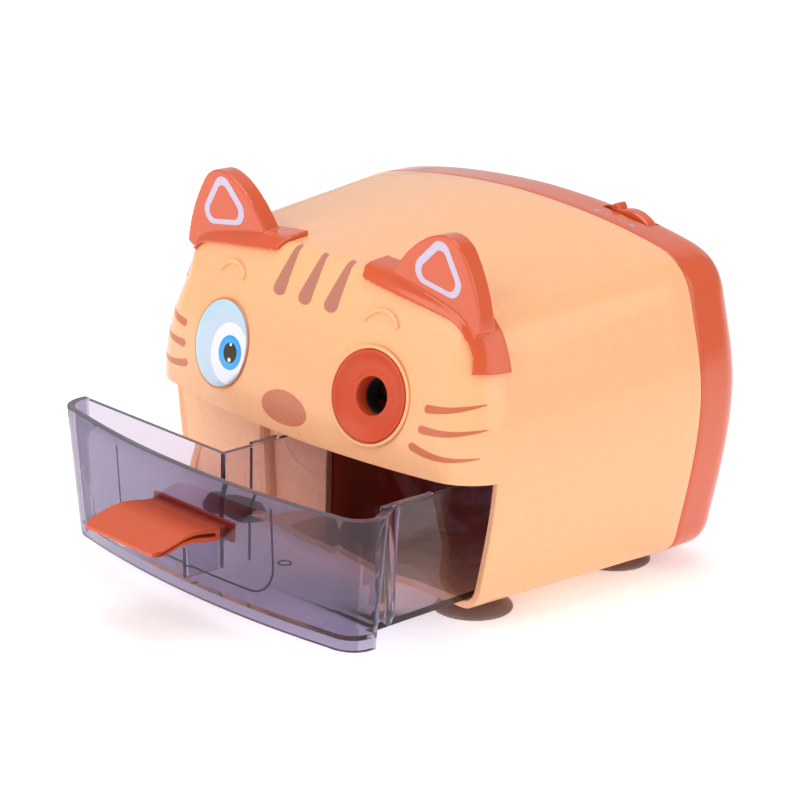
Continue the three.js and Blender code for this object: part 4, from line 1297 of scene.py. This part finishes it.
@dataclass
class Face(Assembly):
    """The printed eye, the dished ring and the prints on the hood."""

    shell: Piece
    eye_x: float = -29.3
    eye_z: float = 60.0

    def build(self) -> None:
        """Build everything on the face."""
        prints = Print(Backing(self.shell, -120, (0, 1, 0)))
        self._stripes(prints)
        self._whiskers(prints)
        nose = prints.blob("face_nose", oval(0.4, 49.8, 8.9, 4.6, 80, 0.10))
        self.put(nose, "nose", Slot.SHELL)
        self._brows(prints.backing)
        self._ring()
        self._eye()

    def _stripes(self, prints: Print) -> None:
        """Lay the three stripes that narrow towards the crease.

        Args:
            prints: the shell's prints.
        """
        places = [(-10.2, -11.4, 77.0), (0.6, -0.9, 76.8), (10.5, 9.2, 76.9)]

        def half(share: float) -> float:
            """Give the stripe's half width."""
            body = 0.95 + 1.6 * min(1.0, share / 0.85)
            end = 1 - max(0.0, (share - 0.86) / 0.14)
            return body * math.sqrt(max(0.0, 1 - (1 - end) ** 2))

        for number, (top, low, z) in enumerate(places, 1):
            spine = [(top, 89.7), ((top + low) / 2, 83), (low, z)]
            stripe = prints.ribbon(f"face_stripe_{number}", spine, half)
            self.put(stripe, "stripe", Slot.SHELL)

    def _whiskers(self, prints: Print) -> None:
        """Lay three tapering whiskers on each cheek.

        Args:
            prints: the shell's prints.
        """
        spines: list[list[Flat]] = [
            [(47.8, 60.6), (54.6, 60.8), (61.6, 63.2)],
            [(46.9, 55.2), (55.0, 54.6), (63.0, 57.0)],
            [(44.7, 50.6), (53.0, 47.4), (62.8, 49.8)],
        ]

        def half(share: float) -> float:
            """Give the whisker's half width."""
            start = math.sqrt(max(0.0, 1 - (1 - min(1.0, share / 0.08)) ** 2))
            return 1.12 * start * (1 - share) ** 0.5

        for side, word in SIDES:
            for number, spine in enumerate(spines, 1):
                mirrored = [(side * x, z) for x, z in spine]
                whisker = prints.ribbon(f"face_whisker_{word}_{number}", mirrored, half)
                self.put(whisker, "whisker", Slot.SHELL)

    def _brows(self, backing: Backing) -> None:
        """Build the two raised arcs over the eyes.

        Args:
            backing: the shell's surface.
        """
        front = Vector((0, -1, 0.25))
        for side, word in SIDES:
            rows = []
            for step in range(41):
                angle = math.radians(150 - 120 * step / 40)
                outward = Vector((math.cos(angle) * side, 0, math.sin(angle)))
                place = backing.drop(side * 30.0 - 2.3 + 6.6 * outward.x, 74.2 + 6.7 * outward.z, 0.1)
                thick = 0.72 * (math.sqrt(math.sin(math.pi * 0.03)) if step in (0, 40) else 1)
                turns = [2 * math.pi * turn / 12 for turn in range(12)]
                rows.append([place + (outward * math.cos(t) + front * math.sin(t)) * thick for t in turns])
            brow = loft(f"face_brow_{word}", rows)
            self.put(brow, "shell", Slot.SHELL, 60)

    def _ring(self) -> None:
        """Build the dished ring, the near-black throat behind it as painted shade, and the moulded bead
        around it.
        """
        profile = [
            (12.1, -3.0), (12.1, 0.1), (12.0, 0.3), (11.8, 0.42), (11.5, 0.4), (11.2, 0.24),
            (10.8, -0.02), (10.1, -0.42), (9.2, -0.82), (8.2, -1.12), (7.4, -1.26), (6.7, -1.24), (6.1, -1.1),
            (5.6, -0.98), (5.25, -1.1), (5.08, -1.45), (5.0, -2.0), (4.85, -6.1), (6.4, -6.1), (6.6, -4.0),
            (11.4, -2.4),
        ]
        ring = turned("pencil_dish", profile, face_frame(AXIS_X, AXIS_Z), 128)
        self.put(ring, "ring", Slot.RING, 45, "pencil_ring")
        # The throat liner is a near-black sheet of painted shade deep in the bore.
        throat = [
            (4.92, -4.9), (4.3, -4.95), (4.25, -5.2), (4.2, -8.6), (6.6, -8.6), (6.6, -6.2), (4.95, -6.2),
        ]
        liner = turned("pencil_throat_liner", throat, face_frame(AXIS_X, AXIS_Z), 96)
        self.put(liner, "throat_shade", Slot.BLACK, 40)
        rim = turned("ring_bead", oval(12.85, 0.02, 0.5, 0.34, 12), face_frame(AXIS_X, AXIS_Z), 128)
        self.put(rim, "shell", Slot.SHELL, 60)

    def _within(self, point: Flat, radius: float) -> Flat:
        """Keep a print's point inside the eye disc.

        Args:
            point: the point.
            radius: largest distance from the disc's middle.

        Returns:
            The point, moved inwards if it lies outside.
        """
        x, z = point[0] - self.eye_x, point[1] - self.eye_z
        share = min(1.0, radius / max(1e-6, math.hypot(x, z)))
        return self.eye_x + x * share, self.eye_z + z * share

    def _eye(self) -> None:
        """Build the domed disc and the layers printed on it."""
        profile = [
            (0.0, 0.95), (3.0, 0.92), (6.0, 0.82), (8.7, 0.66), (10.5, 0.5), (11.5, 0.38), (11.9, 0.2),
            (12.0, -0.05), (12.0, -0.9), (0.0, -0.9),
        ]
        place = face_frame(self.eye_x, self.eye_z)
        disc = turned("eye_disc_dome", profile, place, 128, False)
        self.put(disc, "eye_rim", Slot.EYE, 40, "eye_disc")
        # The thin darker ring round the disc is painted shade for the groove's shadow.
        groove = turned("eye_groove", oval(12.2, 0.05, 0.22, 0.1, 10), place, 128)
        self.put(groove, "groove", Slot.SHELL, 60)
        prints = Print(Backing(disc, -120, (0, 1, 0)), lift=0.04, film=0.06)
        layers = [
            ("shadow", oval(-27.4, 59.2, 10.4, 10.6), "eye_shadow"),
            ("white", oval(-24.3, 58.6, 8.0, 8.2), "eye_white"),
            ("iris", oval(-23.7, 58.9, 4.95, 4.6), "iris"),
            ("pupil", oval(-23.5, 58.9, 2.9, 2.75), "pupil"),
            ("glint_upper", oval(-23.7, 61.1, 0.5, 0.46, 28), "eye_white"),
            ("glint_lower", oval(-23.3, 57.0, 0.66, 0.6, 28), "eye_white"),
        ]
        for number, (word, loop, key) in enumerate(layers):
            inside = [self._within(p, 11.75 - 0.1 * number) for p in loop]
            layer = prints.blob(f"eye_{word}", inside, min(number, 4))
            self.put(layer, key, Slot.EYE)


# ---- drawer


@dataclass
class Drawer(Assembly):
    """The smoke drawer with its curved front, and the orange tongue."""

    body: ClassVar[Body] = Body.DRAWER
    front: float = -90.1
    top: float = 41.0
    low: float = 4.5
    half: float = 61.8
    corner: float = 9.0
    end: float = -74.0
    wall: float = 2.2
    floor: float = 7.2
    sheet: float = 1.4
    rim: float = 40.5
    narrowing: float = 0.0016
    lean: float = 0.082

    def _plan(self, inset: float) -> list[Flat]:
        """Draw the front's plan from left end to right end.

        Args:
            inset: distance moved inwards.

        Returns:
            The open line.
        """
        edge = self.half - self.corner
        centre_y = self.front + edge * edge * FACE_PLAN + self.corner
        radius = self.corner - inset
        line: list[Flat] = [(-self.half + inset, self.end)]
        for i in range(14):
            angle = math.pi * (1 + 0.5 * i / 14)
            line.append((-edge + radius * math.cos(angle), centre_y + radius * math.sin(angle)))
        for i in range(41):
            x = -edge + 2 * edge * i / 40
            line.append((x, self.front + x * x * FACE_PLAN + inset))
        for i in range(13, -1, -1):
            angle = math.pi * (2 - 0.5 * i / 14)
            line.append((edge + radius * math.cos(angle), centre_y + radius * math.sin(angle)))
        line.append((self.half - inset, self.end))
        return line

    def _leaned(self, x: float, y: float, z: float) -> Point:
        """Narrow and lean a plan point for its height."""
        below = self.top - z
        share = (self.end - y) / (self.end - self.front)
        return x * (1 - self.narrowing * below), y + self.lean * below * share, z

    def _front(self) -> Piece:
        """Make the curved front as a closed wall."""
        outer, inner = self._plan(0), self._plan(self.wall)
        levels = [self.low + (self.top - self.low) * i / 6 for i in range(7)]
        return self._upright("drawer_smoke", [*outer, *reversed(inner)], levels)

    def _upright(self, name: str, loop: Line, levels: Sequence[float]) -> Piece:
        """Stand a plan loop on levels, narrowed and leaned for each."""
        return loft(name, [[self._leaned(x, y, z) for x, y in loop] for z in levels])

    def build(self) -> None:
        """Build the drawer and its tongue."""
        bin_piece = self._front()
        z0, z1, top = self.floor, self.floor + self.sheet, self.rim
        tray_back = [(-54.6, z0), (-1.3, z0), (-1.3, top), (-60.4, top), (-57.4, 14)]
        tools = [
            self._upright("floor_front", self._plan(self.wall / 2), (z0, z1)),
            block("floor_bin", (-2.9, 54.2), (-75, -18), (z0, z1)),
            block("floor_tray", (-54.4, -2), (-75, -73.2), (z0, z1)),
            extrude_xz("wall_right", [(52.6, z0), (54.2, z0), (56.3, top), (54.7, top)], -70, -18),
            block("wall_left", (-2.9, -1.3), (-74.4, -18), (z0, top)),
            block("wall_low", (-2.9, -1.3), (-86.5, -74), (z0, 17.3)),
            block("wall_rear", (-2.9, 54.2), (-19.6, -18), (z0, 36)),
            extrude_xz("tray_back", tray_back, -74.6, -73.2),
            extrude_xz("strip_right", [(55.0, 40), (56.35, 40), (56.4, 41.3), (55.1, 41.3)], -70.8, -53.6),
            block("strip_left", (-2.8, -1.4), (-64.2, -55.2), (40, 41.3)),
        ]
        web = extrude_xy("web", [(58.2, -75.2), (61.2, -74), (56.0, -65.6), (53.9, -65.6)], z0, top)
        section = [(-54, z0), (54.2, z0), (57.4, 13), (61.2, top), (-60.6, top), (-57.4, 13)]
        combine(web, extrude_xz("bay_section", section, -80, -60), "INTERSECT")
        tools.append(web)
        for tool in tools:
            combine(bin_piece, tool, "UNION")
        combine(bin_piece, block("tongue_slot", (-14.3, 14.3), (-92, -84), (24.9, 27.9)))
        round_edges(bin_piece, 0.35, 45, 2)
        self.put(bin_piece, "smoke", Slot.SMOKE, 30, "drawer_bin")
        self._tint(bin_piece)
        self._ridges(bin_piece)
        self._handle()

    def _tint(self, bin_piece: Piece) -> None:
        """Leave the front dense, paint shade on the rims with a dark opaque finish, and lighten the walls
        behind.

        Args:
            bin_piece: the drawer.
        """
        for key in ("smoke_rim_painted_shade", "smoke_thin"):
            bin_piece.data.materials.append(self.palette[key])
        for face in bin_piece.data.polygons:
            x, y, height = face.center.x / MM, face.center.y / MM - SHIFT_Y, face.center.z / MM
            # Upward rim faces take the dark opaque finish as painted shade.
            rim = face.normal.z > 0.6 and (height > 39.5 or 35 < height < 36.5 and y > -20)
            front_y = self.front + x * x * FACE_PLAN + self.lean * (self.top - height)
            front = y < front_y + 3.4 or abs(x) > 57.5 and y < -74.2
            flat = abs(face.normal.z) > 0.7 and self.low + 0.5 < height < 12
            face.material_index = 1 if rim else 0 if front and not flat else 2

    def _ridges(self, bin_piece: Piece) -> None:
        """Lay the moulded ridges on the front's inside, the floor and the wall ends, in a darker smoke as
        painted shade; the right wall end takes a lighter smoke as a painted highlight.

        Args:
            bin_piece: the drawer.
        """
        inside = Print(Backing(bin_piece, -79, (0, -1, 0)), lift=0.1, film=0.2)
        loop = rounded_loop([(-31.4, 60), (-31.2, 12.4), (31.2, 12.4), (31.4, 60)], 9.0, 12)
        spine = subdivided([(-31.4, 37.4), *loop[13:39], (31.4, 37.4)], 1.5)
        ridge = inside.line("drawer_front_ridge", spine, 0.26)
        self.put(ridge, "smoke_painted_dark_edge", Slot.SMOKE)
        place = Matrix.Translation((6.7, -59.3, self.floor + self.sheet + 0.05))
        ring = turned("drawer_floor_mark", oval(1.7, 0, 0.35, 0.18, 10), place, 48)
        self.put(ring, "smoke_painted_dark_edge", Slot.SMOKE, 60)
        ends = [
            ("corner", (-2.35, -1.15), (-74.55, -73.85), (8.6, 40.3)),
            ("step", (-1.35, -0.95), (-65.4, -64.6), (8.6, 40.3)),
            ("front", (-2.6, -1.6), (-86.9, -86.3), (8.6, 17.2)),
            ("right", (55.0, 56.6), (-65.8, -65.1), (8.6, 40.3)),
        ]
        for word, x, y, z in ends:
            strip = block(f"drawer_edge_{word}", x, y, z)
            if word == "right":
                lean_out(strip, 2.1 / 32)
            round_edges(strip, 0.15, 50, 2)
            smooth(strip)
            # The right wall end is lighter smoke: painted highlight. The other ends are darker smoke: painted
            # shade.
            key = "smoke_thin" if word == "right" else "smoke_painted_dark_edge"
            self.put(strip, key, Slot.SMOKE)

    def _handle(self) -> None:
        """Build the folded tongue and the bar behind the front."""
        top = [(-84.2, 28.0), (-90.0, 28.0), (-95.0, 28.8), (-99.0, 28.8), (-103.5, 27.8), (-110.3, 25.9)]
        low = [(-84.2, 24.5), (-91.0, 24.6), (-97.7, 26.0), (-102.0, 26.3), (-107.0, 25.3), (-110.3, 24.9)]
        handle = self._leaf("drawer_tongue", top, low, True)
        combine(handle, self._leaf("under_leaf", top, low, False), "UNION")
        combine(handle, block("tongue_root", (-13.9, 13.9), (-89.6, -84.2), (24.8, 27.8)), "UNION")
        round_edges(handle, 0.22, 50, 2)
        self.put(handle, "handle", Slot.TRIM, 40, "drawer_handle")
        bar = block("drawer_tongue_bar", (-16.2, 16.2), (-85.6, -84.2), (23.6, 28.9))
        round_edges(bar, 0.4, 50, 3)
        self.put(bar, "liner", Slot.TRIM, 38)

    def _leaf(self, name: str, top: Line, low: Line, upper: bool) -> Piece:
        """Build one of the tongue's two leaves.

        Args:
            name: name of the piece.
            top: upper line of the side view in Y and Z.
            low: under line of the side view.
            upper: whether this is the upper leaf.

        Returns:
            The closed leaf.
        """
        rows = []
        for step in range(41):
            u = math.sin(math.pi / 2 * (2 * step / 40 - 1))
            outside: list[Point] = []
            inside: list[Point] = []
            for i in range(33):
                y = -84.2 - 26.1 * i / 32
                share = i / 32
                high, under = level(top, y), level(low, y)
                part = 0.36 if share < 0.94 else 0.36 + 0.3 * (share - 0.94) / 0.06
                inner = (high - under) * part
                nose = max(0.0, (-107.6 - y) / 2.7)
                half = 14.0 + 1.2 * min(1.0, max(0.0, (-92 - y) / 12)) - 1.5 * nose * nose
                outside.append((u * half, y, high if upper else under))
                inside.append((u * half, y, high - inner if upper else under + inner))
            rows.append([*outside, *reversed(inside)])
        return loft(name, rows)


def level(line: Line, y: float) -> float:
    """Read a smooth line of Y and Z at a Y.

    Args:
        line: points with falling Y.
        y: the place.

    Returns:
        The height there.
    """
    for i in range(len(line) - 1):
        if y >= line[i + 1][0] - 1e-9:
            break
    before, start = line[max(i - 1, 0)], line[i]
    end, after = line[i + 1], line[min(i + 2, len(line) - 1)]
    share = (start[0] - y) / (start[0] - end[0])
    pull = (end[1] - before[1]) * (start[0] - end[0]) / (before[0] - end[0])
    push = (after[1] - start[1]) * (start[0] - end[0]) / (start[0] - after[0])
    cube, square = share**3, share * share
    rise = (2 * cube - 3 * square + 1) * start[1] + (3 * square - 2 * cube) * end[1]
    return rise + (cube - 2 * square + share) * pull + (cube - square) * push


# ---- small parts


def repeat_tree(material: Material) -> tuple[bpy.types.NodeTree, dict[str, str]]:
    """Build the node tree that sets a part on every point of a mesh.

    Args:
        material: finish of the parts.

    Returns:
        The tree and the identifiers of its inputs.
    """
    tree = bpy.data.node_groups.new("part_on_points", "GeometryNodeTree")
    tree.is_modifier = True
    tree.interface.new_socket(name="Geometry", in_out="INPUT", socket_type="NodeSocketGeometry")
    names = {}
    for key, kind in (("part", "NodeSocketObject"), ("spread", "NodeSocketFloat"), ("seed", "NodeSocketInt")):
        names[key] = tree.interface.new_socket(name=key, in_out="INPUT", socket_type=kind).identifier
    tree.interface.new_socket(name="Geometry", in_out="OUTPUT", socket_type="NodeSocketGeometry")
    add, link = tree.nodes.new, tree.links.new
    source, target = add("NodeGroupInput"), add("NodeGroupOutput")
    info, turn, combined = (
        add(kind) for kind in ("GeometryNodeObjectInfo", "FunctionNodeRandomValue", "ShaderNodeCombineXYZ")
    )
    place, realize, paint = (
        add(f"GeometryNode{kind}") for kind in ("InstanceOnPoints", "RealizeInstances", "SetMaterial")
    )
    turn.data_type = "FLOAT"
    turn.inputs[2].default_value = 0
    paint.inputs["Material"].default_value = material
    for output, socket in (
        (source.outputs["Geometry"], place.inputs["Points"]),
        (source.outputs["part"], info.inputs["Object"]),
        (info.outputs["Geometry"], place.inputs["Instance"]),
        (source.outputs["spread"], turn.inputs[3]),
        (source.outputs["seed"], turn.inputs["Seed"]),
        (turn.outputs[1], combined.inputs["Y"]),
        (combined.outputs[0], place.inputs["Rotation"]),
        (place.outputs[0], realize.inputs[0]),
        (realize.outputs[0], paint.inputs["Geometry"]),
        (paint.outputs[0], target.inputs[0]),
    ):
        link(output, socket)
    return tree, names


def repeat(
    name: str, part: Piece, places: Sequence[Point], material: Material, spread: float, seed: int
) -> Piece:
    """Set copies of a part on places with Geometry Nodes.

    Args:
        name: name of the piece.
        part: the part, made about the frame's origin, and discarded.
        places: the places in millimetres.
        material: finish of the copies.
        spread: largest random turn about Y in radians.
        seed: seed of the turns.

    Returns:
        The copies as one plain mesh.
    """
    tree, names = repeat_tree(material)
    piece = new_piece(name, places, [])
    change = piece.modifiers.new("copies", "NODES")
    change.node_group = tree
    change[names["part"]] = part
    change[names["spread"]] = spread
    change[names["seed"]] = seed
    bake_modifiers(piece)
    discard(part)
    return piece


def about_origin(piece: Piece) -> Piece:
    """Take a part that was made in the seam frame to the row frame's origin."""
    piece.data.transform(Matrix.Translation((0, -SHIFT_Y * MM, 0)))
    return piece


@dataclass
class CoverFittings(Assembly):
    """Screw heads and vent rims on the rear cover."""

    screw_y: float = 38.25
    rim_y: float = 50.45

    def build(self) -> None:
        """Build the screws and the rims."""
        profile = [(0.0, 0.0), (1.9, 0.0), (2.6, -0.22), (3.05, -0.6), (3.05, -1.7), (0.0, -1.7)]
        head = turned("head", profile, axis_frame((0, 0, 0), (0, 1, 0)), 48, False)
        for x, z in ((2.2, 0.42), (0.42, 2.2)):
            combine(head, block("recess", (-x, x), (-0.9, 1.0), (-z, z)))
        round_edges(head, 0.08, 50, 1)
        places = [(x, self.screw_y, z) for x, z in RearCover.screw_places()]
        screws = repeat("cover_screw_heads", about_origin(head), places, self.palette["steel"], 1.2, 7)
        self.put(screws, "steel", Slot.STEEL, 35)
        outer = rounded_loop([(-2.1, -10.9), (2.1, -10.9), (2.1, 10.9), (-2.1, 10.9)], 1.0, 5)
        rim = extrude_xz("rim", outer, -1.4, 0.0)
        combine(rim, block("gap", (-1.3, 1.3), (-3, 1), (-10, 10)))
        round_edges(rim, 0.2, 50, 2)
        pitch = RearCover.vent_pitch
        vents = [(RearCover.vent_x + i * pitch, self.rim_y, 64) for i in range(RearCover.vents)]
        rims = repeat("cover_vent_rims", about_origin(rim), vents, self.palette["orange"], 0.0, 3)
        self.put(rims, "orange", Slot.TRIM, 35)


@dataclass
class GripWheel(Assembly):
    """The thumb wheel in the top of the cover, with its grip."""

    body: ClassVar[Body] = Body.ADJUSTER
    centre: Point = (34.3, 42.05, 84.527)
    grip_turn: float = -26

    def build(self) -> None:
        """Build the disc and its grip as one piece."""
        profile = [
            (0.0, -2.1), (9.9, -2.1), (10.6, -1.9), (10.95, -1.4), (11.0, -0.9), (11.0, 0.9), (10.95, 1.4),
            (10.6, 1.9), (9.9, 2.1), (2.0, 2.1), (2.0, 5.9), (0.0, 5.9),
        ]
        disc = turned("adjuster_thumb_wheel", profile, axis_frame(self.centre, (0, 1, 0)), 96, False)
        grip = block("grip", (-1.5, 1.5), (40.0, 44.1), (8.5, 13.0))
        round_edges(grip, 0.7, 50, 4)
        spot = Matrix.Translation(to_frame((self.centre[0], 0, self.centre[2])))
        about_origin(grip).data.transform(spot @ Matrix.Rotation(math.radians(self.grip_turn), 4, "Y"))
        combine(disc, grip, "UNION")
        self.put(disc, "orange", Slot.TRIM, 35, "adjuster_wheel")


@dataclass
class Feet(Assembly):
    """The four suction feet."""

    def build(self) -> None:
        """Build each foot."""
        profile = [
            (0.0, 1.7), (4.0, 1.55), (7.2, 1.0), (9.0, 0.35), (9.9, 0.05), (10.4, 0.0), (10.9, 0.05),
            (11.0, 0.25), (10.9, 0.6), (10.2, 1.0), (9.0, 1.6), (7.4, 2.3), (5.8, 2.85), (4.6, 3.3),
            (4.3, 3.8), (4.25, 4.7), (2.2, 4.7), (2.2, 6.3), (0.0, 6.3),
        ]
        for end, y in (("front", -27.3), ("rear", 27.3)):
            for side, word in SIDES:
                place = Matrix.Translation((side * 45.7, y, 0))
                foot = turned(f"suction_foot_{end}_{word}", profile, place, 72, False)
                self.put(foot, "foot", Slot.FOOT, 50, f"foot_{end}_{word}")


@dataclass
class CarriedOver(Assembly):
    """Finishes for the CAD nodes that stay in view."""

    def build(self) -> None:
        """Give every node that isn't replaced its finish."""
        keys = {
            "steel": "steel", "gear_white": "white", "black_plastic": "black", "brass": "brass",
            "board_green": "board", "cell_sleeve": "cell", "trim_orange": "liner", "ring_red": "ring",
            "housing_shell": "shell", "foot_soft": "foot", "eye_white": "eye_white", "smoke_clear": "smoke",
        }
        slots = {s["node"]: s["material_slot"] for s in frame["record"]["subparts"]}
        for name, node in frame["nodes"].items():
            material = self.palette[keys[slots[name]]]
            if name == "battery_door":
                material = self.palette["shell"]
            if not node.data.materials:
                node.data.materials.append(material)
            for index in range(len(node.data.materials)):
                node.data.materials[index] = material
            LOG.info("%s: finish %s", name, material.name)


# ---- studio


@dataclass
class Studio:
    """Floor, soft lights and camera."""

    azimuth: float = 46.316
    elevation: float = 18.354
    roll: float = 1.409
    distance: float = 793.67
    target: Point = (-12.649, 0.0, 36.926)

    def build(self) -> None:
        """Build the studio."""
        self._floor()
        self._lights()
        self._camera()

    def _floor(self) -> None:
        """Make the plain pale floor."""
        size = 6000
        corners = [(-size, -size, 0), (size, -size, 0), (size, size, 0), (-size, size, 0)]
        floor = new_piece("floor", corners, [(0, 1, 2, 3)], True)
        tree = Tree("floor_white")
        shader = tree.add(
            "BsdfPrincipled",
            {
                "Base Color": (0.93, 0.93, 0.935, 1), "Roughness": 0.7,
                "Emission Color": (1, 1, 1, 1), "Emission Strength": 0.35,
            },
        )
        floor.data.materials.append(tree.finish(shader.outputs["BSDF"]))

    def _lights(self) -> None:
        """Hang the soft boxes and light the room."""
        world = bpy.data.worlds.new("studio")
        world.use_nodes = True
        background = world.node_tree.nodes["Background"]
        background.inputs["Color"].default_value = (1.0, 1.0, 1.0, 1)
        background.inputs["Strength"].default_value = 0.40
        bpy.context.scene.world = world
        boxes = [
            ("key", (-0.25, -0.9, 0.95), 0.9, 3.9),
            ("side", (1.05, 0.2, 0.6), 1.2, 4.6),
            ("top", (0.0, 0.1, 1.1), 0.9, 4.4),
            ("back", (-0.75, 0.95, 0.85), 1.8, 2.2),
            ("low", (-0.15, -1.1, 0.2), 0.6, 4.0),
        ]
        for name, place, size, power in boxes:
            light = bpy.data.lights.new(name, "AREA")
            light.shape = "DISK"
            light.size = size
            light.energy = power
            lamp = bpy.data.objects.new(name, light)
            lamp.location = place
            lamp.visible_glossy = name != "low"
            lamp.rotation_euler = (Vector((0, 0, 0.05)) - Vector(place)).to_track_quat("-Z", "Y").to_euler()
            bpy.context.scene.collection.objects.link(lamp)

    def _camera(self) -> None:
        """Set up the camera."""
        azimuth, elevation, roll = (math.radians(v) for v in (self.azimuth, self.elevation, self.roll))
        right = Vector((math.cos(azimuth), math.sin(azimuth), 0))
        level_back = Vector((math.sin(azimuth), -math.cos(azimuth), 0))
        back = level_back * math.cos(elevation) + Vector((0, 0, math.sin(elevation)))
        up = back.cross(right)
        turned_right = right * math.cos(roll) + up * math.sin(roll)
        turned_up = up * math.cos(roll) - right * math.sin(roll)
        matrix = Matrix((turned_right, turned_up, back)).transposed().to_4x4()
        matrix.translation = to_frame(self.target) + back * self.distance * MM
        data = bpy.data.cameras.new("camera")
        data.lens = 126.0
        data.sensor_width = 36.0
        data.clip_end = 20
        camera = bpy.data.objects.new("camera", data)
        camera.matrix_world = matrix
        bpy.context.scene.collection.objects.link(camera)
        bpy.context.scene.camera = camera
        bpy.context.scene.view_settings.view_transform = "Standard"


def main() -> None:
    """Build every sub-assembly in order."""
    logging.basicConfig(level=logging.INFO, format="%(name)s %(message)s", stream=sys.stdout)
    palette = make_palette()
    Studio().build()
    CarriedOver(palette).build()
    shell = Housing(palette).build()
    RearCover(palette).build()
    CoverFittings(palette).build()
    EarCap(palette, -1).build()
    EarCap(palette, 1).build()
    Face(palette, shell).build()
    Drawer(palette).build()
    GripWheel(palette).build()
    Feet(palette).build()


if __name__ == "__main__":
    main()
